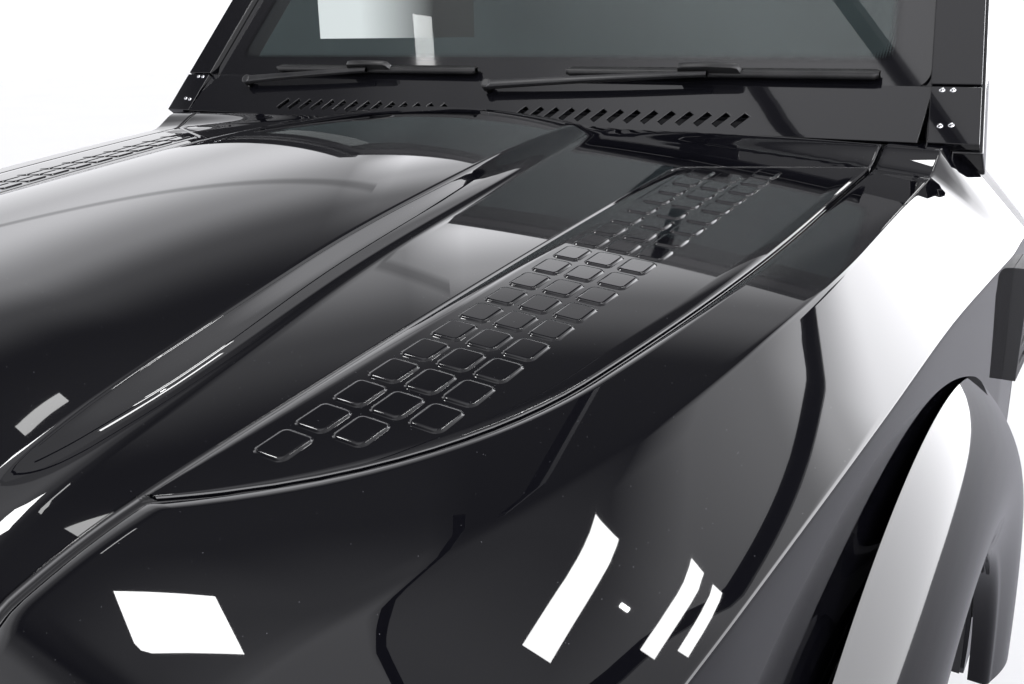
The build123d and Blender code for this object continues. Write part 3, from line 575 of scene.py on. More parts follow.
class MeshDesk:
    """Gathers grids and loose faces in millimetres, and makes one piece from them."""

    def __init__(self) -> None:
        """Starts with nothing."""
        self.points: list[np.ndarray] = []
        self.normals: list[np.ndarray] = []
        self.faces: list[tuple[int, ...]] = []
        self.count = 0

    def grid(self, points: np.ndarray, flip: bool = False, around: bool = False) -> None:
        """Adds a smooth grid of quads.

        Args:
            points: Rows by columns by three.
            flip: Turns the outer side over.
            around: Joins the last column to the first.
        """
        rows, columns = points.shape[:2]
        if around:
            wide = np.concatenate((points[:, -1:], points, points[:, :1]), axis=1)
            across = directions(wide, 1)[:, 1:-1]
        else:
            across = directions(points, 1)
        normal = unit(np.cross(across, directions(points, 0)))
        index = self.count + np.arange(rows * columns).reshape(rows, columns)
        after = np.roll(index, -1, axis=1) if around else index[:, 1:]
        here = index if around else index[:, :-1]
        quads = np.stack((here[:-1], after[:-1], after[1:], here[1:]), axis=-1).reshape(-1, 4)
        if flip:
            quads = quads[:, ::-1]
            normal = -normal
        self.points.append(points.reshape(-1, 3))
        self.normals.append(normal.reshape(-1, 3))
        self.faces.extend(map(tuple, quads.tolist()))
        self.count += rows * columns

    def fan(self, ring: np.ndarray, normal: np.ndarray) -> None:
        """Adds one flat-ended cap over a ring, with one normal for each of its points."""
        self.points.append(ring)
        self.normals.append(np.broadcast_to(normal, ring.shape))
        self.faces.append(tuple(range(self.count, self.count + len(ring))))
        self.count += len(ring)

    def mirrored(self) -> "MeshDesk":
        """The same faces on the other side of the vehicle."""
        other = MeshDesk()
        flip = np.array([-1.0, 1.0, 1.0])
        other.points = [p * flip for p in self.points]
        other.normals = [n * flip for n in self.normals]
        other.faces = [face[::-1] for face in self.faces]
        other.count = self.count
        return other

    def on(self, side: Side) -> "MeshDesk":
        """These faces as they are on the left, or mirrored on the right."""
        return self if side is Side.LEFT else self.mirrored()

    def merge(self, other: "MeshDesk") -> None:
        """Adds all that another desk holds."""
        self.points += other.points
        self.normals += other.normals
        self.faces += [tuple(i + self.count for i in face) for face in other.faces]
        self.count += other.count

    def piece(self, name: str) -> bpy.types.Object:
        """Makes the object, smooth and with its normals kept."""
        mesh = bpy.data.meshes.new(name)
        mesh.from_pydata((np.concatenate(self.points) * MM).tolist(), [], self.faces)
        mesh.polygons.foreach_set("use_smooth", [True] * len(mesh.polygons))
        mesh.normals_split_custom_set_from_vertices(np.concatenate(self.normals).tolist())
        return placed(name, mesh)


@dataclass(frozen=True)
class Roll:
    """A rolled edge: how far in and how far down each of its lines is, ending in a short flange."""

    radius: float
    flange: float
    lines: int = 5

    def steps(self) -> list[tuple[float, float]]:
        """Pairs of distance in from the edge and depth, from the flat to the flange's foot."""
        turn = np.linspace(0.0, math.pi / 2, self.lines)
        arc = [(self.radius * (1 - math.sin(a)), self.radius * (1 - math.cos(a))) for a in turn]
        return [*arc, (0.0, self.radius + 0.4 * self.flange), (0.0, self.radius + self.flange)]


class Upper:
    """The upper surface that the bonnet, the plates and the wings share."""

    # y, height above the arc, cross fall, bulge half-width, height and dome, fold x, crease x, crease z
    TABLE = np.array(
        [
            (-1440, -44, 0.0756, 408, 3, 8, 672, 845, 100),
            (-1390, -11, 0.0756, 405, 9, 16, 690, 872, 146),
            (-1300, -1, 0.0756, 398, 20, 26, 716, 892, 174),
            (-1230, 0, 0.0756, 389, 25, 30, 735, 899, 187),
            (-1150, 0, 0.0756, 378, 28, 32, 756, 906, 199),
            (-850, 0, 0.0756, 328, 30, 34, 803, 920, 226),
            (-550, 0, 0.0756, 297, 30, 30, 822, 927, 242),
            (-380, 0, 0.0756, 279, 25, 26, 822, 933, 244),
            (-265, 0, 0.0756, 267, 19, 22, 822, 938, 246),
            (-215, 0, 0.0756, 262, 16, 20, 822, 940, 247),
            (-150, 14, 0.02, 245, 3, 15, 822, 940, 249),
            (0, 8, 0.02, 240, 1, 12, 822, 940, 250),
        ]
    )
    ARC = ((-200.0, 361.0), (-740.0, 303.5), (-1280.0, 231.0))
    FALL = 0.0756
    SHOULDER_X = 590.0
    CROWN_RADIUS = 9000.0
    WALL = 24.0
    CREST_ROUND = 3.0
    FOOT_ROUND = 15.0
    FOLD_ROUND = 1.2

    def field(self, y: np.ndarray, column: int) -> np.ndarray:
        """One column of the table at y."""
        return monotone(y, self.TABLE[:, 0], self.TABLE[:, column])

    def arc(self, y: np.ndarray) -> np.ndarray:
        """Height of the shoulder's long arc."""
        (y0, z0), (y1, z1), (y2, z2) = self.ARC
        chord = z0 + (z2 - z0) * (y - y0) / (y2 - y0)
        share = (y - y1) / ((y2 - y0) / 2)
        return chord + (z1 - (z0 + z2) / 2) * (1 - share * share)

    def crown(self, x: np.ndarray, y: np.ndarray) -> np.ndarray:
        """Height of the shoulder without the bulge."""
        u = np.abs(x) - self.SHOULDER_X
        return self.arc(y) + self.field(y, 1) - self.field(y, 2) * u - u * u / (2 * self.CROWN_RADIUS)

    def bonnet(self, x: np.ndarray, y: np.ndarray) -> np.ndarray:
        """Height of the bonnet with its bulge."""
        half, height, dome = (self.field(y, i) for i in (3, 4, 5))
        edge = self.crown(half + self.WALL, y) + height
        top = edge + dome * (1 - (x / half) ** 2)
        wall = edge - (np.abs(x) - half) * height / self.WALL
        return soft_max(soft_min(top, wall, self.CREST_ROUND), self.crown(x, y), self.FOOT_ROUND)

    def wing(self, x: np.ndarray, y: np.ndarray) -> np.ndarray:
        """Height of the wing's top and of the facet outside its fold."""
        fold, crease_x, crease_z = (self.field(y, i) for i in (6, 7, 8))
        start = self.crown(fold, y)
        facet = start + (x - fold) * (crease_z - start) / (crease_x - fold)
        return soft_min(self.crown(x, y), facet, self.FOLD_ROUND)


class Plan:
    """Outlines from above: the bonnet's edge and the plates' edges."""

    HALF = 740.0
    NOSE_HALF = 507.0
    REAR_Y = -150.0
    FRONT_Y = -1440.0
    STRAIGHT_Y = -480.0
    SIDE_RADIUS = 3400.0
    SIDE_TURN = math.radians(8.3)
    CORNER_RADIUS = 460.0
    PLATE_X = 505.0
    PLATE_REAR_Y = -352.0
    PLATE_SLOPE = 176.0 / 295.0
    PLATE_CORNER = 30.0
    EASE = 0.5  # how much the recess's walls are drawn out
    PLATE_EDGE = 7.0  # from the bonnet's edge to where the pads' field ends
    PLATE_LIP = 1.2  # from the bonnet's edge to the plate's outer edge

    @classmethod
    def edge(cls, y: np.ndarray, grow: float = 0.0) -> np.ndarray:
        """Half-width of the bonnet at y, grown by a gap."""
        side_x = cls.HALF - cls.SIDE_RADIUS
        reach = cls.SIDE_RADIUS - cls.CORNER_RADIUS
        corner_x = side_x + reach * math.cos(cls.SIDE_TURN)
        corner_y = cls.STRAIGHT_Y - reach * math.sin(cls.SIDE_TURN)
        side = cls.SIDE_RADIUS + grow
        corner = cls.CORNER_RADIUS + grow
        along_side = side_x + np.sqrt(np.maximum(side**2 - (y - cls.STRAIGHT_Y) ** 2, 0.0))
        along_corner = corner_x + np.sqrt(np.maximum(corner**2 - (y - corner_y) ** 2, 0.0))
        turn_y = cls.STRAIGHT_Y - side * math.sin(cls.SIDE_TURN)
        curved = np.where(y > turn_y, along_side, along_corner)
        return np.maximum(np.where(y > cls.STRAIGHT_Y, cls.HALF + grow, curved), cls.NOSE_HALF + grow)

    @classmethod
    def plate_rear(cls, x: np.ndarray) -> np.ndarray:
        """Y of the plate's slanted rear edge at x."""
        return cls.PLATE_REAR_Y + cls.PLATE_SLOPE * (np.abs(x) - cls.PLATE_X)

    @classmethod
    def inside_recess(cls, x: np.ndarray, y: np.ndarray) -> np.ndarray:
        """Distance in from the recess's inner and rear edges, with the corner between them rounded."""
        cosine = 1.0 / math.hypot(1.0, cls.PLATE_SLOPE)
        along = np.abs(x) - cls.PLATE_X
        back = (cls.plate_rear(x) - y) * cosine
        centre_y = cls.PLATE_REAR_Y + cls.PLATE_SLOPE * cls.PLATE_CORNER - cls.PLATE_CORNER / cosine
        dx, dy = along - cls.PLATE_CORNER, y - centre_y
        in_corner = (dy > 0) & (dx * cosine + dy * cls.PLATE_SLOPE * cosine < 0)
        corner = cls.PLATE_CORNER - np.hypot(dx, dy)
        return np.where(in_corner, corner, np.minimum(along, back)) * cls.EASE

    @classmethod
    def inside_plate(cls, x: np.ndarray, y: np.ndarray) -> np.ndarray:
        """Distance in from the outline that the pads keep clear of."""
        return np.minimum(cls.inside_recess(x, y), cls.edge(y, -cls.PLATE_EDGE) - np.abs(x))


# Windscreen


class Screen:
    """The windscreen's plane: u across, v up the glass and n outwards."""

    RAKE = 38.0
    BASE_Y = -100.0
    BASE_Z = 400.0
    GLASS_V = (62.0, 655.0)

    @classmethod
    def at(cls, u: float, v: float, n: float) -> tuple[float, float, float]:
        """The place of a point given in the glass plane.

        Args:
            u: Across the vehicle.
            v: Up the glass.
            n: Outwards from the frame's plane.

        Returns:
            The point in the part's frame.
        """
        rake = math.radians(cls.RAKE)
        y = cls.BASE_Y + v * math.sin(rake) - n * math.cos(rake)
        z = cls.BASE_Z + v * math.cos(rake) + n * math.sin(rake)
        return u, y, z

    @classmethod
    def way(cls, u: float, v: float, n: float) -> np.ndarray:
        """A direction given in the glass plane, in the part's frame."""
        return np.array(cls.at(u, v, n)) - np.array(cls.at(0.0, 0.0, 0.0))

    @classmethod
    def circle(cls, place: tuple[float, float], radius: float, n: float, points: int) -> list[Point]:
        """Points of a circle that lies along the glass, at a height over it."""
        turn = np.linspace(0.0, 2 * math.pi, points + 1)[:-1]
        u, v = place
        return [cls.at(u + radius * math.cos(t), v + radius * math.sin(t), n) for t in turn]


def weighted_normals(mesh: bpy.types.Mesh) -> None:
    """Gives each corner point the normal of the faces round it, the larger ones counting for more."""
    sums = np.zeros((len(mesh.vertices), 3))
    for face in mesh.polygons:
        sums[list(face.vertices)] += np.array(face.normal) * face.area
    sums /= np.maximum(np.linalg.norm(sums, axis=1, keepdims=True), 1e-12)
    mesh.polygons.foreach_set("use_smooth", [True] * len(mesh.polygons))
    mesh.normals_split_custom_set_from_vertices(sums.tolist())


@dataclass(frozen=True)
class Softening:
    """Small rounds on the edges of a CAD node, as its own piece."""

    node: str
    width: float
    steps: int = 2
    paired: bool = False

    def build(self, shop: Workshop) -> None:
        """Makes the piece, or one for each side."""
        for name in [f"{self.node}_{side.word}" for side in Side] if self.paired else [self.node]:
            node = shop.nodes[name]
            mesh = node.data.copy()
            work = bmesh.new()
            work.from_mesh(mesh)
            bmesh.ops.remove_doubles(work, verts=work.verts, dist=WELD)
            bmesh.ops.dissolve_limit(work, angle_limit=FLAT_ANGLE, verts=work.verts, edges=work.edges)
            closed = [edge for edge in work.edges if len(edge.link_faces) == 2]
            sharp = [edge for edge in closed if edge.calc_face_angle(0.0) > SMOOTH_ANGLE]
            size = {"offset": self.width * MM, "segments": self.steps, "profile": 0.5}
            bmesh.ops.bevel(work, geom=sharp, affect="EDGES", **size)
            work.to_mesh(mesh)
            work.free()
            weighted_normals(mesh)
            piece = placed(f"soft_{name}", mesh)
            piece.matrix_world = node.matrix_world
            shop.seat(piece, shop.slots[name], shop.body_of(name), name)


def spans(*parts: tuple[float, float, int]) -> np.ndarray:
    """Places along a line: even steps between the ends of each part, without repeats."""
    return np.unique(np.concatenate([np.linspace(start, end, steps + 1) for start, end, steps in parts]))


def rounded_ring(wide: float, high: float, corner: float, lines: int = 4) -> np.ndarray:
    """Points of a rounded rectangle about its middle, anticlockwise."""
    turn = np.linspace(0.0, math.pi / 2, lines)
    quarters = []
    for i, (sx, sy) in enumerate(((1, 1), (-1, 1), (-1, -1), (1, -1))):
        angle = turn + i * math.pi / 2
        x = sx * (wide / 2 - corner) + corner * np.cos(angle)
        y = sy * (high / 2 - corner) + corner * np.sin(angle)
        quarters.append(np.stack((x, y), axis=-1))
    return np.concatenate(quarters)


@dataclass(frozen=True)
class BonnetPanel:
    """The bonnet's outer skin: power bulge, recesses for the plates and rolled edges."""

    upper: Upper
    edge_roll: Roll = Roll(4.0, 4.0, 7)
    end_roll: Roll = Roll(3.0, 7.0)
    recess: float = 3.4
    recess_edge: tuple[float, float] = (-2.4, -0.8)
    warp_front: float = -620.0
    warp_rear: float = -158.0

    @property
    def by_recess(self) -> np.ndarray:
        """Lines beside the recess's edge, from inside it to outside."""
        return np.array([1.5, 0.0, -1.6, -2.1, -2.6, -3.2, -3.8, -4.3, -4.9, -6.0])

    def warp(self, row: np.ndarray, x: np.ndarray) -> np.ndarray:
        """Bends the rows so that one of them follows the plate's rear edge."""
        line = Plan.PLATE_REAR_Y
        shift = np.maximum(Plan.plate_rear(x) - line, 0.0)
        ahead = np.clip((row - self.warp_front) / (line - 20.0 - self.warp_front), 0.0, 1.0)
        behind = np.clip((self.warp_rear - row) / (self.warp_rear - line - 8.0), 0.0, 1.0)
        return row + shift * np.minimum(ahead, behind)

    def rows(self) -> tuple[np.ndarray, np.ndarray]:
        """Rows along the bonnet and how far each is rolled down."""
        near = math.hypot(1.0, Plan.PLATE_SLOPE) * self.by_recess
        flat = np.concatenate(
            (
                spans((-1434, -1380, 9), (-1380, -1290, 7), (-1290, -1266, 9)),
                spans((-1266, -620, 26), (-620, -376, 13), (-373, -354, 14))[1:],
                Plan.PLATE_REAR_Y - near,
                spans((-343, -325, 4), (-325, -170, 13), (-168, -158, 3)),
            )
        )
        steps = self.end_roll.steps()
        front = [Plan.FRONT_Y + inward for inward, _ in steps[::-1]]
        rear = [Plan.REAR_Y - inward for inward, _ in steps]
        down = [depth for _, depth in steps]
        return np.concatenate((front, flat, rear)), np.concatenate((down[::-1], np.zeros(len(flat)), down))

    def columns(self, y: np.ndarray) -> tuple[np.ndarray, np.ndarray]:
        """Places across the left half of each row, and how far each column is rolled down."""
        half = self.upper.field(y[:, :1], 3)
        edge = Plan.edge(y, 0.0)
        beside = [1.1, 2.2, 3.5, 5]
        crest = np.array([*(-b for b in beside[::-1]), 0, *beside, 8, 11, 14, 17, 20, 24, 28, 33, 39, 46, 56])
        inner = Plan.PLATE_X + np.array([*self.by_recess[:1:-1], self.by_recess[0]])
        outer = np.array([-1.5, -0.1, 0.6, 1.0, 1.4, 1.8, 2.2, 2.5])
        corner = np.array([4.0, 6.5, 9.0, 12.0, 15.0, 19.0, 24.0, 30.0])
        steps = self.edge_roll.steps()
        rows = y.shape[0]

        def fixed(values: np.ndarray) -> np.ndarray:
            """The same places in every row."""
            return np.broadcast_to(values, (rows, len(values)))

        middle = (half - 8.0) * np.linspace(0.0, 1.0, 12)
        valley = half + 60 + (Plan.PLATE_X - 8 - half - 60) * np.linspace(0.1, 1.0, 7)
        start = Plan.PLATE_X + 34.0
        field = start + (edge[:, -1:] - 9.0 - start) * np.linspace(0.08, 1.0, 6)
        recess = fixed(np.concatenate((inner, Plan.PLATE_X + corner)))
        rim = Plan.edge(y, -Plan.PLATE_EDGE)[:, -1:] + outer
        rolled = edge[:, -1:] - np.array([inward for inward, _ in steps])
        x = np.concatenate((middle, half + crest, valley, recess, field, rim, rolled), axis=1)
        rest = np.arange(x.shape[1])[::-1] - len(steps) + 1
        limit = edge[:, -1:] - steps[0][0] - 0.1 * np.maximum(rest, 0)
        x = np.where(rest > 0, np.minimum(x, limit), x)
        return x, np.concatenate((np.zeros(x.shape[1] - len(steps)), [depth for _, depth in steps]))

    def build(self) -> MeshDesk:
        """The whole skin as one grid."""
        row, row_down = self.rows()
        y = np.repeat(row[:, None], 2, axis=1)
        for _ in range(4):
            x, column_down = self.columns(y)
            y = self.warp(row[:, None], x)
        x = np.concatenate((-x[:, :0:-1], x), axis=1)
        y = np.concatenate((y[:, :0:-1], y), axis=1)
        down = np.concatenate((column_down[:0:-1], column_down))
        z = self.upper.bonnet(x, y) - self.recess * smooth_step(Plan.inside_recess(x, y), *self.recess_edge)
        desk = MeshDesk()
        desk.grid(np.stack((x, y, z - np.maximum(down, row_down[:, None])), axis=-1))
        return desk


@dataclass(frozen=True)
class Plate:
    """A glossy plate let into the bonnet, with rows of raised pads."""

    upper: Upper
    roll: Roll = Roll(1.3, 1.8)
    # How much wider and deeper than the roll the outer edge is turned down
    lip: tuple[float, float] = (2.0, 2.4)
    front_y: float = -1280.0
    first: tuple[float, float] = (547.0, -1186.0)
    pitch: tuple[float, float] = (40.0, 45.5)
    size: tuple[float, float] = (32.0, 37.0)
    corner: float = 7.0
    profile: Stops = (
        (2.2, -0.4), (1.5, 0.0), (1.0, 0.25), (0.55, 0.6), (0.15, 1.0),
        (-0.3, 1.4), (-0.9, 1.72), (-1.7, 1.93), (-3.0, 2.02),
    )
    clear: float = 3.0
    pads: tuple[int, int] = (3, 20)

    def base(self) -> MeshDesk:
        """The plate without its pads."""
        steps = self.roll.steps()
        panel = BonnetPanel(self.upper)
        slant = math.hypot(1.0, Plan.PLATE_SLOPE)
        rear = Plan.PLATE_REAR_Y
        tip = self.front_y + 30
        ahead = spans((self.front_y, tip, 12), (tip, -620, 26), (-620, rear - 20, 13))
        flat = np.concatenate((ahead, spans((rear - 18, rear - 3, 12))))
        row = np.concatenate((flat, [rear - inward * slant for inward, _ in steps]))
        row_down = np.concatenate((np.zeros(len(flat)), [depth for _, depth in steps]))
        back = np.clip(rear - row, 0.0, None)
        reach = self.corner_reach(back)[:, None]
        y = np.repeat(row[:, None], 2, axis=1)
        across = np.linspace(0.0, 1.0, 14)[1:-1]
        for _ in range(4):
            outer = Plan.edge(y, -Plan.PLATE_LIP)[:, -1:]
            inner = Plan.PLATE_X + reach
            room = outer - inner
            edge = np.array([inward for inward, _ in steps])
            lip = edge * self.lip[0]
            squeeze = np.minimum(1.0, room / (1.5 * (edge[0] + lip[0])))
            left = inner + edge[::-1] * squeeze
            middle = inner + edge[0] * squeeze + (room - (edge[0] + lip[0]) * squeeze) * across
            x = np.concatenate((left, middle, outer - lip * squeeze), axis=1)
            y = panel.warp(row[:, None], x)
        depth = np.array([down for _, down in steps])
        down = np.concatenate((depth[::-1], np.zeros(len(across)), depth * self.lip[1]))
        z = self.upper.crown(x, y) - np.maximum(down, row_down[:, None])
        desk = MeshDesk()
        desk.grid(np.stack((x, y, z), axis=-1))
        return desk

    @staticmethod
    def corner_reach(back: np.ndarray) -> np.ndarray:
        """How far the rounded corner moves the plate's inner end, at a distance ahead of its rear edge."""
        radius, slope = Plan.PLATE_CORNER, Plan.PLATE_SLOPE
        rise = radius * math.hypot(1.0, slope) - back
        a, b, c = 1 + slope**2, 2 * slope * rise, rise**2 - radius**2
        root = (-b - np.sqrt(np.maximum(b * b - 4 * a * c, 0.0))) / (2 * a)
        tangent = radius * (math.hypot(1.0, slope) - slope)
        return np.where(back < tangent, radius + root, 0.0)

    def build(self) -> MeshDesk:
        """The plate and its pads."""
        desk = self.base()
        for i in range(self.pads[0]):
            for j in range(self.pads[1]):
                centre = np.array(self.first) + (i * self.pitch[0], (i + j) * self.pitch[1])
                outline = rounded_ring(*self.size, self.corner, 8) + centre
                if Plan.inside_plate(*outline.T).min() < self.clear:
                    continue
                lines = []
                for grow, up in self.profile:
                    wide, long = (side + 2 * grow for side in self.size)
                    place = rounded_ring(wide, long, self.corner + grow, 8) + centre
                    lines.append(np.column_stack((place, self.upper.crown(*place.T) + up)))
                desk.grid(np.array(lines), around=True)
                slope = (self.upper.arc(centre[1] + 1.0) - self.upper.arc(centre[1] - 1.0)) / 2
                desk.fan(lines[-1], unit(np.array([Upper.FALL, -slope, 1.0])))
        return desk


@dataclass(frozen=True)
class Wing:
    """The left wing: top, fold, facet, crease and side, with rolled edges."""

    upper: Upper
    roll: Roll = Roll(2.5, 9.0)
    front: Roll = Roll(7.0, 6.0, 7)
    front_y: float = -1436.0
    # Where the wing steps round the bonnet's rear corner and runs on to the bulkhead
    rear: tuple[float, ...] = (-145.5, -144.9, -138.4, -137.9, -132.0, -120.0, -100.0, -80.0)
    # Where each step starts, and how far out the wing's inner edge then is
    notch_y: tuple[float, float] = (-145.0, -138.0)
    notch_x: tuple[float, float] = (745.0, 785.0)
    gap: float = 5.0
    # How far the side swells out below the crease and falls back in, at its lowest point
    belly: tuple[float, float] = (25.0, 22.0)
    arch: tuple[float, float, float] = (-650.0, -545.0, 506.0)
    low: tuple[float, float] = (-75.0, -460.0)
    crease_round: float = 2.6

    def bottom(self, y: np.ndarray) -> np.ndarray:
        """Height of the side's lower edge."""
        centre_y, centre_z, radius = self.arch
        over = centre_z + np.sqrt(np.maximum(radius**2 - (y - centre_y) ** 2, 0.0))
        return np.where(y < centre_y, np.maximum(over, self.low[0]), np.maximum(over, self.low[1]))

    def section(self, y: np.ndarray) -> np.ndarray:
        """Points of each row, from the edge by the bonnet to the foot of the side."""
        steps = self.roll.steps()
        behind = np.where(y < self.notch_y[1], *self.notch_x)
        inner = np.where(y < self.notch_y[0], Plan.edge(y, self.gap), behind)
        fold, crease_x, crease_z = (self.upper.field(y, i) for i in (6, 7, 8))
        shares = np.linspace(0.0, 1.0, 13)
        start = inner + steps[0][0]
        top = start[:, None] + (fold - 6 - start)[:, None] * shares[1:]
        bend = fold[:, None] + np.array([-3.0, -1.6, -0.8, 0.0, 0.8, 1.6, 3.0, 6.0])
        facet = (fold + 6)[:, None] + (crease_x - 9 - fold - 6)[:, None] * np.linspace(0.15, 1.0, 8)
        last = crease_x[:, None] - np.array([5.0, self.crease_round])
        edge = inner[:, None] + np.array([inward for inward, _ in steps])[::-1]
        x = np.concatenate((edge, top, bend, facet, last), axis=1)
        row = np.broadcast_to(y[:, None], x.shape)
        down = np.concatenate(([depth for _, depth in steps][::-1], np.zeros(x.shape[1] - len(steps))))
        z = self.upper.wing(x, row) - down
        upper = np.stack((x, row, z), axis=-1)
        foot = self.bottom(y)
        start = 2 * self.crease_round
        fall = np.linspace(0.0, 1.0, 17)[:, None] * (crease_z - start - foot) + start
        side_z = (crease_z - fall).T
        q = (crease_z[:, None] - side_z) / (crease_z[:, None] - self.low[1])
        side_x = crease_x[:, None] + self.belly[0] * q - self.belly[1] * q * q
        side = np.stack((side_x, np.broadcast_to(y[:, None], side_x.shape), side_z), axis=-1)
        a, b = upper[:, -1], side[:, 0]
        tip = np.stack((crease_x, y, crease_z), axis=-1)
        t = np.linspace(0.0, 1.0, 7)[1:-1, None, None]
        turn = ((1 - t) ** 2 * a + 2 * t * (1 - t) * tip + t * t * b).transpose(1, 0, 2)
        lip = side[:, -1:] + np.array([[-1.0, 0.0, -0.6], [-3.0, 0.0, -1.0], [-16.0, 0.0, -1.0]])
        return np.concatenate((upper, turn, side, lip), axis=1)

    def build(self) -> MeshDesk:
        """The wing as one grid, rolled inwards at its nose."""
        steps = self.front.steps()
        rolled = np.array([self.front_y + inward for inward, _ in steps])[::-1]
        flat = spans(
            (self.front_y + 9, -1290, 14), (-1290, -1270, 6), (-1270, -970, 20), (-970, -840, 10),
            (-836, -460, 26), (-460, -170, 24), (-170, -146, 6),
        )
        y = np.concatenate((rolled, flat, self.rear))
        points = self.section(y)
        count = len(steps)
        base = unit(np.cross(directions(points, 1), directions(points, 0)))[count + 1]
        for i, (_, depth) in enumerate(steps[::-1]):
            points[i] = points[i] - base * depth
        desk = MeshDesk()
        desk.grid(points)
        return desk


@dataclass(frozen=True)
class Bodywork:
    """The painted upper panels: bonnet, plates and wings."""

    upper: Upper

    def build(self, shop: Workshop) -> None:
        """Makes the panels of both sides."""
        skin = BonnetPanel(self.upper).build().piece("bonnet_outer")
        shop.seat(skin, Slot.BODY_PAINT, Body.BONNET, "bonnet_skin")
        plate = Plate(self.upper).build()
        wing = Wing(self.upper).build()
        for side in Side:
            word = side.word
            panel = plate.on(side).piece(f"plate_{word}")
            shop.seat(panel, Slot.PLATE_GLOSS, Body.BONNET, f"bonnet_plate_{word}")
            shell = wing.on(side).piece(f"wing_outer_{word}")
            shop.seat(shell, Slot.BODY_PAINT, Body.SHELL, f"wing_{word}")


@dataclass(frozen=True)
class Flare:
    """Arch flares: one rounded profile swept about the wheel's axis."""

    centre: tuple[float, float] = (-650.0, -545.0)
    foot_z: float = -465.0
    # Radius and x of the profile's corners: inner flange, lip, crown, shoulder and seat on the wing
    flange: tuple[float, float] = (499.0, 950.0)
    lip: tuple[float, float] = (498.5, 982.0)
    crown: tuple[float, float] = (588.0, 997.5)
    seat: tuple[float, float] = (716.0, 935.0)
    lip_round: float = 12.0
    around: int = 120

    def profile(self) -> np.ndarray:
        """Radius and x along the outer face, from the inner flange to the seat."""
        turn = np.linspace(0.0, math.pi / 2, 8)
        flange = np.linspace(self.flange, (self.lip[0], self.lip[1] - self.lip_round), 4)
        bend_r = self.lip[0] + self.lip_round * (1 - np.cos(turn))
        bend_x = self.lip[1] - self.lip_round * (1 - np.sin(turn))
        start = (bend_r[-1], bend_x[-1])
        share = np.linspace(0.0, 1.0, 14)[1:]
        rise_r = start[0] + (self.crown[0] - start[0]) * share
        rise_x = start[1] + (self.crown[1] - start[1]) * np.sin(share * math.pi / 2)
        fall_r = self.crown[0] + (self.seat[0] - self.crown[0]) * share
        fall_x = self.crown[1] - (self.crown[1] - self.seat[1]) * share**2
        radius = np.concatenate((flange[:, 0], bend_r[1:], rise_r, fall_r))
        return np.stack((radius, np.concatenate((flange[:, 1], bend_x[1:], rise_x, fall_x))), axis=-1)

    def build(self, shop: Workshop) -> None:
        """Makes both flares."""
        radius, x = self.profile().T
        reach = np.arccos((self.foot_z - self.centre[1]) / radius)
        share = np.linspace(-1.0, 1.0, self.around + 1)[:, None]
        angle = reach * share
        y = self.centre[0] + radius * np.sin(angle)
        z = self.centre[1] + radius * np.cos(angle)
        desk = MeshDesk()
        desk.grid(np.stack((np.broadcast_to(x, y.shape), y, z), axis=-1), flip=True)
        for side in Side:
            skin = desk.on(side).piece(f"flare_{side.word}")
            shop.seat(skin, Slot.GLOSS_TRIM, Body.SHELL, f"arch_flare_{side.word}")


